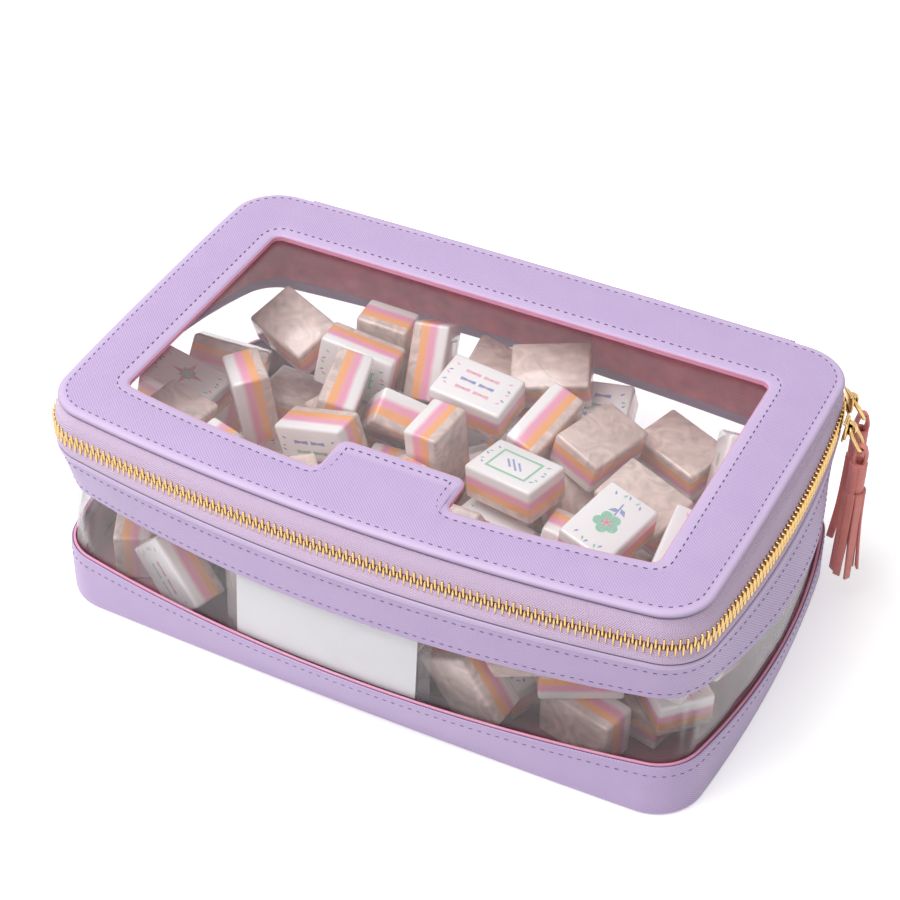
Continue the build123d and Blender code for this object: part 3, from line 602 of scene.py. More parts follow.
class Shader(Nodes):
    """A material of its own, with the patterns that several finishes share."""

    def __init__(self, name):
        self.material = bpy.data.materials.new(name)
        super().__init__(self.material)
        self.surface = self.tree.nodes["Principled BSDF"]

    def set(self, **inputs):
        """Sets inputs of the surface by name, with _ for a space."""
        self.feed(self.surface, {key.replace("_", " "): value for key, value in inputs.items()})

    def colours(self, factor, first, second):
        """A mix of two colours, each a fixed one or another node's."""
        first, second = [c if isinstance(c, bpy.types.NodeSocket) else (*c, 1) for c in (first, second)]
        return self.add("ShaderNodeMix", {0: factor, 6: first, 7: second}, data_type="RGBA").outputs[2]

    def mark(self, name):
        """The mesh's own values of a name, none where it has none."""
        return self.add("ShaderNodeAttribute", attribute_name=name).outputs["Fac"]

    def with_painted_shade(self, colour):
        """The colour with painted shade: going dark where the mesh marks the shade of a crease."""
        return self.colours(self.mark("crease_shade"), colour, settings().leather.crease_shade)

    def coordinates(self, flat=False):
        """The piece's own UV map, or its Object coordinates."""
        return self.add("ShaderNodeTexCoord").outputs["UV" if flat else "Object"]

    def stripes(self, vector, turn, pitch, distortion):
        """Sine stripes a pitch apart, turned about Z."""
        place = self.add("ShaderNodeMapping", {"Vector": vector, "Rotation": (0, 0, math.radians(turn))})
        inputs = {"Vector": place, "Scale": math.pi / 10 / pitch, "Distortion": distortion}
        return self.add("ShaderNodeTexWave", {**inputs, "Detail Scale": 3.0}).outputs["Fac"]

    def noise(self, vector, size, detail=2, distortion=0):
        """Soft noise with patches of a size."""
        inputs = {"Vector": vector, "Scale": 1 / size, "Detail": detail, "Distortion": distortion}
        return self.add("ShaderNodeTexNoise", inputs).outputs[0]

    def bump(self, height, depth, strength):
        """Raises the surface by a height in shares of a depth."""
        node = self.add("ShaderNodeBump", {"Height": height, "Distance": depth, "Strength": strength})
        self.feed(self.surface, {"Normal": node.outputs[0]})


def leather_material(name, flat=True):
    """Embossed leather: two crossing sets of fine diagonal grooves, faded where an edge is pressed."""
    leather = settings().leather
    shader = Shader(name)
    where = shader.coordinates(flat)
    main = shader.stripes(where, -47, leather.grain_pitch, 1.0)
    cross = shader.stripes(where, 42, leather.grain_pitch * 0.9, 1.8)
    weave = shader.fitted(cross, 0.4, main)
    kept = shader.math("SUBTRACT", 1.0, shader.mark("pressed"))
    height = shader.math("MULTIPLY", weave, kept)
    cloud = shader.noise(where, 14 * MM, 3)
    fine = shader.noise(where, 0.5 * MM)
    groove = shader.math("MULTIPLY", shader.math("SUBTRACT", 1.45, weave), kept)
    tone = shader.fitted(groove, 0.5, shader.math("MULTIPLY", cloud, 0.18))
    tone = shader.fitted(fine, 0.2, tone)
    # Painted shade in the seams' creases, where the mesh marks it
    shader.set(Base_Color=shader.with_painted_shade(shader.colours(tone, leather.colour, leather.shade)))
    shader.set(Roughness=shader.fitted(height, -0.1, 0.52), Sheen_Weight=0.12)
    shader.bump(shader.fitted(fine, 0.3, height), leather.grain_depth, 0.7)
    return shader.material


def tape_material():
    """Woven tape: threads that slant one way and then the other, in bands along the tape."""
    colours = settings().zip
    shader = Shader("zip_tape")
    band, thread_pitch, warp_pitch = 3.6 * MM, 0.95 * MM, 0.55 * MM
    parts = shader.add("ShaderNodeSeparateXYZ", {0: shader.coordinates(True)})
    slant = shader.math("ADD", shader.math("PINGPONG", parts.outputs[1], band), parts.outputs[0])
    thread = shader.math("SINE", shader.math("MULTIPLY", slant, 2 * math.pi / thread_pitch))
    thread = shader.fitted(thread, 0.5, 0.5)
    warp = shader.math("SINE", shader.math("MULTIPLY", parts.outputs[0], 2 * math.pi / warp_pitch))
    fuzz = shader.noise(shader.coordinates(True), 0.35 * MM)
    height = shader.fitted(warp, 0.22, thread)
    height = shader.fitted(fuzz, 0.8, height)
    tone = shader.fitted(height, -0.6, 0.92)
    # Painted shade where the mesh marks it: beside the teeth and at the seams
    shader.set(Base_Color=shader.with_painted_shade(shader.colours(tone, colours.tape, colours.tape_shade)))
    shader.set(Roughness=0.75, Sheen_Weight=0.35)
    shader.bump(height, 0.14 * MM, 0.9)
    return shader.material


def satin_material(name, light=1.0, flat=False):
    """Satin: soft folds with painted shade in them and a faint weave, with a sheen. A light below one makes
    a darker copy, with shade painted in.
    """
    trim = settings().trim
    shader = Shader(name)
    where = shader.coordinates(flat)
    folds = shader.noise(where, 9 * MM, 4)
    weave = shader.stripes(where, 20, 0.5 * MM, 0.8)
    tone = shader.fitted(folds, 1.5, -0.35)
    # Painted shade: the folds darken towards the fold shade colour, and a light below one darkens the whole
    # satin
    satin, fold = [tuple(light * c for c in colour) for colour in (trim.satin, trim.satin_fold_shade)]
    shader.set(Base_Color=shader.colours(tone, satin, fold))
    shader.set(Roughness=0.38, Sheen_Weight=0.5)
    shader.bump(shader.fitted(weave, 0.06, folds), 1.6 * MM, 0.5)
    return shader.material


def plain_material(name, colour, roughness, patch, depth, spread=0.12):
    """One colour with a fine uneven surface and slight patches."""
    shader = Shader(name)
    where = shader.coordinates()
    fine = shader.noise(where, patch, 3)
    darker = tuple(c * (1 - spread) for c in colour)
    shader.set(Base_Color=shader.colours(shader.noise(where, patch * 12), colour, darker))
    shader.set(Roughness=shader.fitted(fine, 0.12, roughness - 0.06))
    shader.bump(fine, depth, 0.6)
    return shader.material


def clear_material():
    """Clear vinyl with soft creases: a thin haze, and a mirror that grows towards a grazing look."""
    shader = Shader("clear_vinyl")
    where = shader.coordinates()
    shader.set(Base_Color=(0.86, 0.83, 0.88, 1), Roughness=0.25)
    creases = shader.noise(where, 30 * MM, 1, 0.8)
    wave = shader.add("ShaderNodeBump", {"Height": creases, "Distance": 1.2 * MM})
    mirror = shader.add("ShaderNodeBsdfGlossy", {"Roughness": 0.05, "Normal": wave})
    facing = shader.add("ShaderNodeLayerWeight", {"Blend": 0.5, "Normal": wave}).outputs["Facing"]
    glance = shader.fitted(shader.math("POWER", facing, 3.2), 0.7, 0.015)
    see = shader.add("ShaderNodeBsdfTransparent", {"Color": (0.985, 0.98, 0.985, 1)})
    film = shader.add("ShaderNodeMixShader", {0: glance, 1: see, 2: mirror})
    haze = shader.add("ShaderNodeMixShader", {0: 0.022, 1: film, 2: shader.surface})
    shader.feed(shader.tree.nodes["Material Output"], {"Surface": haze})
    return shader.material


def tile_material():
    """Four layers along the tile's thickness, the last one milky, with soft clouding."""
    tiles = settings().tiles
    shader = Shader("tile_layers")
    where = shader.coordinates()
    depth = shader.fitted(shader.noise(where, 6 * MM), 0.05, shader.mark("depth"))
    ramp = shader.add("ShaderNodeValToRGB", {0: depth})
    stops = [
        (0.0, tiles.back), (0.27, tiles.back), (0.28, tiles.third), (0.44, tiles.third),
        (0.55, tiles.second), (0.66, tiles.second), (0.78, tiles.face), (1.0, tiles.face),
    ]
    while len(ramp.color_ramp.elements) < len(stops):
        ramp.color_ramp.elements.new(0.5)
    for element, (place, colour) in zip(ramp.color_ramp.elements, stops):
        element.position = place
        element.color = (*colour, 1)
    pearl = shader.fitted(shader.noise(where, 11 * MM, 4, 2.2), 1.1, 0.34)
    behind = shader.math("LESS_THAN", depth, 0.275)
    milky = shader.add("ShaderNodeVectorMath", {0: ramp, 1: pearl}, operation="MULTIPLY")
    shader.set(Base_Color=shader.colours(behind, ramp.outputs[0], milky.outputs[0]))
    shader.set(Roughness=0.16, Subsurface_Weight=0.25)
    shader.set(Subsurface_Radius=(1.0, 0.6, 0.5), Subsurface_Scale=2 * MM, Coat_Weight=0.3)
    shader.bump(shader.noise(where, 3 * MM), 0.1 * MM, 0.5)
    return shader.material


def ink_material():
    """Printed motif, whose colour is stored on the mesh, slightly uneven."""
    shader = Shader("tile_print")
    ink = shader.add("ShaderNodeAttribute", attribute_name="ink").outputs["Color"]
    patch = shader.noise(shader.coordinates(), 0.8 * MM)
    worn = shader.colours(shader.math("MULTIPLY", patch, 0.5), ink, (0.95, 0.9, 0.9))
    shader.set(Base_Color=worn, Roughness=0.3)
    return shader.material


def metal_material():
    """Polished yellow metal, finely uneven, with painted shade going dark brown in its corners."""
    shader = Shader("gold_metal")
    where = shader.coordinates()
    colour = settings().zip.metal
    deep = tuple(c * f for c, f in zip(colour, (0.84, 0.7, 0.5)))
    dark = tuple(c * f for c, f in zip(colour, (0.16, 0.08, 0.04)))
    # Painted shade: ambient occlusion darkens the colour to dark brown in corners and between teeth
    open_sky = shader.add("ShaderNodeAmbientOcclusion", {"Distance": 1.6 * MM}, samples=6).outputs["AO"]
    metal = shader.colours(shader.noise(where, 2 * MM), colour, deep)
    lit = shader.fitted(open_sky, 1.7, -0.5)
    shader.set(Base_Color=shader.colours(lit, dark, metal), Metallic=1.0)
    shader.set(Roughness=shader.fitted(shader.noise(where, 0.6 * MM), 0.12, 0.14))
    return shader.material


def tassel_material():
    """Soft tassel leather with a faint slanting grain."""
    tassel = settings().tassel
    shader = Shader("coral_leather")
    where = shader.coordinates()
    grain = shader.noise(where, 0.7 * MM, 3)
    cloud = shader.noise(where, 6 * MM, 3)
    tone = shader.fitted(grain, 0.5, shader.fitted(cloud, 0.6, -0.3))
    shader.set(Base_Color=shader.colours(tone, tassel.colour, tassel.shade))
    shader.set(Roughness=0.6, Sheen_Weight=0.25)
    shader.bump(grain, 0.12 * MM, 0.8)
    return shader.material


MADE = {}


def material(name):
    """The named material, made once."""
    trim, thread = settings().trim, settings().thread
    makers = {
        "leather": lambda: leather_material("lilac_leather"),
        "leather_plain": lambda: leather_material("lilac_leather_plain", flat=False),
        "tape": tape_material,
        "satin": lambda: satin_material("satin", flat=True),
        "satin_plain": lambda: satin_material("satin_plain"),
        # A darker copy of the satin, with shade painted in
        "satin_shaded": lambda: satin_material("satin_shaded", 0.45),
        "clear": clear_material,
        "tile": tile_material,
        "ink": ink_material,
        "metal": metal_material,
        "tassel": tassel_material,
        "edge": lambda: plain_material("painted_edge", trim.edge, 0.35, 1.5 * MM, 0.05 * MM),
        "card": lambda: plain_material("insert_card", trim.card, 0.7, 0.4 * MM, 0.02 * MM, 0.03),
        "board": lambda: plain_material("board", trim.board, 0.8, 0.6 * MM, 0.05 * MM),
        "thread": lambda: plain_material("thread", thread.colour, 0.6, 0.3 * MM, 0.05 * MM),
    }
    if name not in MADE:
        MADE[name] = makers[name]()
    return MADE[name]


def finish_piece(piece, body, slot, *nodes):
    """Lets a piece ride on its body and stand for its nodes, which it hides; the slot is not used."""
    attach(piece, body)
    if nodes:
        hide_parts(*nodes)


def line_on_wall(z):
    """A closed line of points round the wall at a height, with their outward directions."""
    return (*wall(round_turns(), z), True)


# Operators


class BuildLowerBand(bpy.types.Operator):
    """Leather band round the base with its rounded foot and the painted rim above it"""

    bl_idname = "tile_bag.lower_band"
    bl_label = "Lower band"

    def execute(self, context):
        foot, fold, shade_depth = 1.7 * MM, 0.5 * MM, 1.5 * MM
        leather_top = RIM + 0.8 * MM
        profile = sheet_outline(0, LEATHER, 0, leather_top, [foot, fold, fold, 0.1 * MM], 6, 2 * MM)
        # Painted shade: the inner face of the fold's top, in the groove beside the rim, is marked dark
        inside = (profile[:, 0] > fold) & (profile[:, 1] > leather_top - shade_depth)
        band = swept("lower_band_leather", round_turns(), profile, material("leather"),
                     marks={"crease_shade": inside.astype(float)})
        finish_piece(band, "case", "lilac_leather", "lower_band")
        outer, low = 0.8 * MM, leather_top - 0.9 * MM
        bead = sheet_outline(outer, LEATHER, low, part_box("lower_rim")[1].z, 0.4 * MM, 5)
        rim = swept("lower_rim_edge", round_turns(), bead, material("edge"))
        finish_piece(rim, "case", "pink_edge", "lower_rim")
        below_rim = 3.6 * MM
        stitches("lower_band_stitches", [line_on_wall(RIM - below_rim)], "case")
        top = RIM - SEAM_OVERLAP - 0.2 * MM
        sheet = sheet_outline(LINING, LINING + SATIN, FLOOR_TOP, top, 0.2 * MM, spacing=2 * MM)
        # The lower lining takes the darker copy of the satin, its shade painted in
        lining = swept("lower_lining", round_turns(), sheet, material("satin_shaded"))
        finish_piece(lining, "case", "pink_satin", "lower_band_lining")
        return {"FINISHED"}


def wall_folds(turn, z):
    """How far the clear wall gives way: gentle waves, deeper at the corners, none at its seams."""
    share = np.clip((z - RIM) / (WAIST - RIM), 0, 1)
    free = np.sin(np.pi * share) ** 0.8
    near_corner = np.exp(-((np.abs((turn % 2) - 1.5) / 0.9) ** 4))
    waves = ripple(turn * 9, share * 5, 21, 7)
    return free * (0.5 + 1.0 * near_corner) * MM * waves


class BuildClearWall(bpy.types.Operator):
    """Clear vinyl wall between the bands"""

    bl_idname = "tile_bag.clear_wall"
    bl_label = "Clear wall"

    def execute(self, context):
        low, high = RIM - SEAM_OVERLAP, WAIST + SEAM_OVERLAP
        profile = sheet_outline(CLEAR_OFFSET, CLEAR_OFFSET + VINYL, low, high, 0.2 * MM, spacing=1.5 * MM)
        wall_piece = swept("clear_wall_sheet", round_turns(), profile, material("clear"), wall_folds)
        finish_piece(wall_piece, "case", "clear_vinyl", "clear_wall")
        return {"FINISHED"}


class BuildUpperBand(bpy.types.Operator):
    """Upper leather band with its rolled top edge, two rows of stitches and its satin lining"""

    bl_idname = "tile_bag.upper_band"
    bl_label = "Upper band"

    def execute(self, context):
        roll, proud, swell = 3.0 * MM, 0.5 * MM, 0.7 * MM
        foot = BAND_TOP - roll
        corners = [
            (0, WAIST), (0, foot), (-proud, foot + swell), (-proud, BAND_TOP),
            (LEATHER, BAND_TOP), (LEATHER, WAIST),
        ]
        radii = [0.6 * MM, 0.1 * MM, 0.3 * MM, 0.95 * MM, 0.5 * MM, 0.6 * MM]
        profile = rounded_outline(corners, radii, 6, 1.6 * MM)
        fade, shade_start = 0.6 * MM, 0.15 * MM
        pressed = np.clip((profile[:, 1] - foot) / fade, 0, 1) * 0.85
        # Painted shade: the inner face under the rolled top is marked dark
        crease_shade = ((profile[:, 0] > shade_start) & (profile[:, 1] > BAND_TOP - fade)).astype(float)
        band = swept("upper_band_leather", round_turns(), profile, material("leather"),
                     marks={"pressed": pressed, "crease_shade": crease_shade})
        finish_piece(band, "case", "lilac_leather", "upper_band", "upper_band_edge_roll")
        above_waist, below_roll = 3.2 * MM, 2.6 * MM
        rows = [line_on_wall(WAIST + above_waist), line_on_wall(BAND_TOP - roll - below_roll)]
        stitches("upper_band_stitches", rows, "case")
        low, high = WAIST + SEAM_OVERLAP + 0.2 * MM, BAND_TOP
        sheet = sheet_outline(LINING, LINING + SATIN, low, high, 0.2 * MM, spacing=1.5 * MM)

        def gathers(turn, z):
            free = np.sin(np.pi * np.clip((z - low) / (high - low), 0, 1))
            return free * (0.9 + 0.9 * ripple(turn * 26, z / (6 * MM), 5)) * MM

        lining = swept("upper_lining", round_turns(), sheet, material("satin"), gathers)
        finish_piece(lining, "case", "pink_satin", "upper_band_lining")
        return {"FINISHED"}


class BuildZip(bpy.types.Operator):
    """Both woven tapes and their rows of meshing metal teeth"""

    bl_idname = "tile_bag.zip"
    bl_label = "Zip"

    def execute(self, context):
        outer, inner, meet = 0.3 * MM, 1.2 * MM, 0.15 * MM
        bulge, chain_height, chain_half, shadow = 0.6 * MM, 3.4 * MM, 1.1 * MM, 0.5 * MM
        for side, low, high, body in (("lower", BAND_TOP - 0.4 * MM, ZIP - meet, "case"),
                                      ("upper", ZIP + meet, EDGE_BOTTOM + 0.5 * MM, "lid")):
            profile = sheet_outline(outer, inner, low, high, 0.2 * MM, spacing=0.45 * MM)
            z = profile[:, 1]
            # Painted shade: the tape is marked dark beside the chain of teeth and at its seam with the band
            # or under the lid's edge
            chain = 1 - np.clip((np.abs(z - ZIP) - chain_half) / shadow, 0, 1)
            seam = z < BAND_TOP + shadow if side == "lower" else z > EDGE_BOTTOM - shadow
            crease_shade = np.maximum(chain, seam)

            def pillow(turn, z, low=low, high=high):
                seam, chain = (low, high - chain_height) if low < ZIP else (high, low + chain_height)
                share = np.clip((z - seam) / (chain - seam), 0, 1)
                slope = lid_inset(turn) * (1 - share) if low > ZIP else 0
                return slope - bulge * np.sin(np.pi * share)

            tape = swept(f"{side}_tape", open_turns(), profile, material("tape"), pillow, False,
                         {"crease_shade": crease_shade})
            finish_piece(tape, body, "zip_tape", f"{side}_zip_tape")
            self.teeth(side, body)
        return {"FINISHED"}

    def teeth(self, side, body):
        """One row of teeth: bars that stand on the tape and swell before their rounded tip.

        Drawn with X along the zip, Y out and Z from the tape to the tip.
        """
        zip_settings = settings().zip
        shares = np.array([0, 0.07, 0.45, 0.56, 0.7, 0.94, 1.0])
        along = np.array([0.3, 0.42, 0.42, 0.56, 0.62, 0.56, 0.35]) * MM
        out = np.array([0.9, 1.15, 1.2, 1.1, 1.0, 0.9, 0.6]) * MM
        template, faces = ring_stack(along, out, shares * zip_settings.tooth_height, 8, 0.6)
        half_span, chain_offset = 3.6 * MM, 0.75 * MM
        lean, shift = (1, 0.25) if side == "lower" else (-1, 0.75)
        points, outward = wall(open_turns(), ZIP, chain_offset)
        points[:, 2] = ZIP - lean * half_span
        place, axes = along_path(points, outward, False, zip_settings.tooth_pitch, shift)
        along_axis, out_axis = -lean * axes[:, 0], axes[:, 2]
        axes = np.stack([along_axis, out_axis, np.cross(along_axis, out_axis)], 1)
        all_but_ends = slice(1, -1)
        copies, cells = scattered(template, faces, place[all_but_ends], axes[all_but_ends])
        piece = mesh_piece(f"{side}_teeth", copies, cells, material("metal"))
        finish_piece(piece, body, "gold_metal", f"{side}_zip_teeth")


def window_path():
    """The window's outline as sections, each with the lid edge's turns that it lies across from.

    The sections are arcs at the corners and lines between. The tab's sides face short stretches
    of the lid's front, so that no line between the two outlines crosses the opening.
    """
    half, back, r = WINDOW_HALF, WINDOW_BACK, WINDOW_RADIUS
    bow_radius, _ = bowed_side(half, WINDOW_BOW, 0)

    def front_y(x):
        return WINDOW_FRONT - WINDOW_BOW + bow_radius - np.sqrt(bow_radius**2 - x**2)

    left, right = TAB_CENTRE - TAB_HALF, TAB_CENTRE + TAB_HALF
    tab_top = WINDOW_FRONT - WINDOW_BOW + TAB_REACH
    tilt = math.atan(half / math.sqrt(bow_radius**2 - half**2))

    def quarter(cx, cy, first, last):
        angle = np.radians(np.linspace(first, last, 8))
        return np.stack([cx + r * np.cos(angle), cy + r * np.sin(angle)], 1)

    def front(x0, x1):
        x = np.linspace(x0, x1, 40)
        return np.stack([x, front_y(x)], 1)

    def line(start, end):
        return np.array([start, end])

    def at(x):
        return float(front_turn(x, LID_TOP))

    # The front corners stand a little off the bow, and the tab's side and corner face a step each
    corner_y, ease = front_y(half - r) + r * math.cos(tilt) * 1.02, r * 0.06
    tilt_degrees = math.degrees(tilt)
    step = 3.4 * MM
    return [
        (line((half, corner_y), (half, back - r)), 0, 1),
        (quarter(half - r, back - r, 0, 90), 1, 2),
        (line((half - r, back), (r - half, back)), 2, 3),
        (quarter(r - half, back - r, 90, 180), 3, 4),
        (line((-half, back - r), (-half, corner_y)), 4, 5),
        (quarter(r - half, corner_y, 180, 270 - tilt_degrees), 5, 6),
        (front(r - half - ease, left - r), 6, at(left - r)),
        (quarter(left - r, front_y(left) + r, 270, 360), at(left - r), at(left)),
        (line((left, front_y(left) + r), (left, tab_top - r)), at(left), at(left + step)),
        (quarter(left + r, tab_top - r, 180, 90), at(left + step), at(left + 2 * step)),
        (line((left + r, tab_top), (right - r, tab_top)), at(left + 2 * step), at(right - 2 * step)),
        (quarter(right - r, tab_top - r, 90, 0), at(right - 2 * step), at(right - step)),
        (line((right, tab_top - r), (right, front_y(right) + r)), at(right - step), at(right)),
        (quarter(right + r, front_y(right) + r, 180, 270), at(right), at(right + r)),
        (front(right + r, half - r + ease), at(right + r), 7),
        (quarter(half - r, corner_y, 270 + tilt_degrees, 360), 7, 8),
    ]


def lid_lines():
    """Points of the window's outline, and the lid edge's turn across from each of them."""
    path, turns = [], []
    spacing = 1.6 * MM
    for points, first, last in window_path():
        edge, _ = wall(np.linspace(first, last, 50), LID_TOP)
        travelled = lengths_along(points)
        count = int(np.ceil(max(travelled[-1], lengths_along(edge)[-1]) / spacing))
        share = np.arange(count) / count
        path.append(sampled(share * travelled[-1], travelled, points))
        turns.append(first + share * (last - first))
    return np.concatenate(path), np.concatenate(turns)


def inward_normals(path):
    """Unit directions square to a closed flat line, to the left of its run."""
    step = unit(np.roll(path, -1, 0) - np.roll(path, 1, 0))
    return np.stack([-step[:, 1], step[:, 0]], 1)


class BuildLid(bpy.types.Operator):
    """The lid's leather frame with its tab, rolled outer edge, window sheet and stitches"""

    bl_idname = "tile_bag.lid"
    bl_label = "Lid"

    def execute(self, context):
        window, turns = lid_lines()
        inward = inward_normals(window)
        # The rolled edge, from underneath round to the top, as offsets and heights
        roll = np.array([
            (3.2, 0.7), (1.6, 0.25), (0.5, 0.05), (-0.1, 0.1), (-0.5, 0.4), (-0.6, 0.85),
            (-0.45, 1.35), (0.0, 1.8), (0.6, 2.1), (1.4, 2.25), (2.3, 2.3),
        ]) * MM
        rows = [wall(turns, EDGE_BOTTOM + up, offset + lid_inset(turns))[0] for offset, up in roll]
        edge = wall(turns, LID_TOP, roll[-1, 0] + lid_inset(turns))[0][:, :2]
        # The top, gently crowned, from there to near the window
        crown, sink, lip_start, count = 0.35 * MM, 0.25 * MM, 1.2 * MM, 16
        near = window - inward * lip_start
        for share in np.arange(1, count + 1) / count:
            height = LID_TOP - 0.1 * MM + crown * np.sin(np.pi * share) - sink * share**6
            rows.append(at_height(edge + (near - edge) * share, height))
        # The lip round the window and back underneath, as distances from the opening and heights
        for back, drop in ((0.5, -0.55), (0.12, -0.85), (0.0, -1.3), (0.0, -2.6), (0.3, -2.8)):
            rows.append(at_height(window - inward * back * MM, LID_TOP + drop * MM))
        rows.append(at_height(window - inward * 8 * MM, PANEL_BOTTOM))
        points = np.stack(rows)
        # How far the grain is pressed flat on each row, and how dark the painted shade in the seam's crease
        # under the roll is
        pressed = np.zeros(len(rows))
        pressed[:10] = 0.9
        pressed[10] = 0.5
        pressed[-9:] = 0.55
        crease_shade = np.zeros(len(rows))
        crease_shade[:8] = (1, 1, 1, 1, 0.9, 0.45, 0.2, 0.05)
        marks = {"pressed": np.repeat(pressed, len(turns)), "crease_shade": np.repeat(crease_shade, len(turns))}
        piece = grid_piece("lid_frame", points, material("leather"), True, True, marks=marks)
        self.flat_uv(piece)
        finish_piece(piece, "lid", "lilac_leather", "lid_panel", "lid_edge_roll")
        self.stitch(window, inward)
        self.window_edge(window, inward)
        self.window_sheet()
        return {"FINISHED"}

    def window_edge(self, window, inward):
        """Paint on the leather's cut edge: a thin wall round the window."""
        rows = [at_height(window + inward * into * MM, LID_TOP + drop * MM)
                for into, drop in ((0.22, -1.0), (0.22, -2.75), (-0.1, -2.75), (-0.1, -1.0))]
        paint = grid_piece("window_edge_paint", np.stack(rows), material("edge"), True, True, smooth=False)
        finish_piece(paint, "lid", "pink_edge", "window_edging")

    def flat_uv(self, piece):
        """Takes the UV from above, so that the grain runs straight across the lid."""
        mesh = piece.data
        corners = mesh_values(mesh.loops, "vertex_index", 1, np.int32)[:, 0]
        points = mesh_values(mesh.vertices, "co", 3)
        mesh.uv_layers["UVMap"].uv.foreach_set("vector", points[corners, :2].ravel())

    def stitch(self, window, inward):
        """A row inside the rolled edge, and one round the window and its tab."""
        from_edge, from_window = 2.9 * MM, 4.3 * MM
        edge = wall(round_turns(), LID_TOP, from_edge + lid_inset(round_turns()))[0][:, :2]
        rows = [at_height(edge, LID_TOP - 0.02 * MM),
                at_height(window - inward * from_window, LID_TOP + 0.12 * MM)]
        lines = [(row, np.broadcast_to([0, 0, 1.0], row.shape), True) for row in rows]
        stitches("lid_stitches", lines, "lid")

    def window_sheet(self):
        """The clear sheet under the frame, gently uneven."""
        margin = 4 * MM
        x = np.linspace(-WINDOW_HALF - margin, WINDOW_HALF + margin, 120)
        y = np.linspace(WINDOW_FRONT - WINDOW_BOW - margin, WINDOW_BACK + margin, 70)
        x, y = np.meshgrid(x, y)
        low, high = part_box("lid_window")[0].z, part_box("lid_window")[1].z
        half_depth, patch = 65 * MM, 30 * MM
        free = np.clip((1 - (x / WINDOW_HALF) ** 2) * (1 - (y / half_depth) ** 2), 0, 1)
        z = high - 0.05 * MM + free * (0.7 * ripple(x / patch, y / patch, 8) - 0.5) * MM
        sheet = slab("window_sheet", np.stack([x, y, z], -1), high - low, material("clear"))
        finish_piece(sheet, "lid", "clear_vinyl", "lid_window")


class BuildHinge(bpy.types.Operator):
    """The leather strip that the lid turns on, and its satin lining, reaching from case to lid"""

    bl_idname = "tile_bag.hinge"
    bl_label = "Hinge strip"

    def execute(self, context):
        outer, lining_half = -2.2 * MM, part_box("hinge_lining_lower")[1].x
        self.strip("strip", STRIP_HALF, (outer, -0.8 * MM), (STRIP_BOTTOM, STRIP_TOP),
                   "leather", 0.55 * MM, "lilac_leather")
        self.strip("lining", lining_half, (0.3 * MM, 1.2 * MM), (BAND_TOP, LID_EDGE),
                   "satin", 0.3 * MM, "pink_satin")
        margin = 3 * MM
        x = np.linspace(-STRIP_HALF + margin, STRIP_HALF - margin, 90)
        for name, z, body in (("hinge_stitches_lower", STRIP_BOTTOM + margin, "case"),
                              ("hinge_stitches_upper", STRIP_TOP - margin, "lid")):
            points, out = wall(back_turn(x, z), z, outer)
            stitches(name, [(points, out, False)], body)
        return {"FINISHED"}

    def strip(self, part, half, offsets, heights, finish, rounding, slot):
        """A strip of the back wall between two heights."""
        turns = back_turn(np.linspace(half, -half, 110), ZIP)
        profile = sheet_outline(*offsets, *heights, rounding, 5, 0.6 * MM)
        piece = swept(f"hinge_{part}", turns, profile, material(finish), closed_path=False)
        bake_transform(piece)
        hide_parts(f"hinge_{part}_lower", f"hinge_{part}_upper")


def tube(points, radius, sides, closed):
    """A round tube along a flat line: rings square to it, all turned from the line's own plane."""
    step = np.roll(points, -1, 0) - np.roll(points, 1, 0)
    if not closed:
        step[0], step[-1] = points[1] - points[0], points[-1] - points[-2]
    along = unit(step)
    first = unit(np.cross(along, points - points.mean(0)).mean(0))
    second = unit(np.cross(along, first))
    angle = (np.arange(sides) / sides * 2 * np.pi)[:, None, None]
    return points + radius * (np.cos(angle) * first - np.sin(angle) * second)


def join_grids(name, grids, finish):
    """One piece of several grids, each given as points, wrapped rows, wrapped columns and caps."""
    all_points, all_faces, used = [], [], 0
    for points, wrap_rows, wrap_columns, caps in grids:
        rows, columns = points.shape[:2]
        cells, _ = grid_cells(rows, columns, wrap_rows, wrap_columns)
        all_faces += [face + used for face in [cells, *(end_caps(rows, columns) if caps else [])]]
        all_points.append(points.reshape(-1, 3))
        used += rows * columns
    return mesh_piece(name, np.concatenate(all_points), all_faces, finish)


def placed(grids, joint):
    """Grids drawn with X out, Y along the zip and Z up about a joint's pivot, set in their place."""
    found = JOINTS[joint]
    origin = np.array(found["pos_m"])
    ax, ay, _ = found["axis"]
    out = unit(np.array([-ay, ax, 0]))
    axes = np.stack([out, [-out[1], out[0], 0], [0, 0, 1]])
    return [(origin + points @ axes, *rest) for points, *rest in grids]


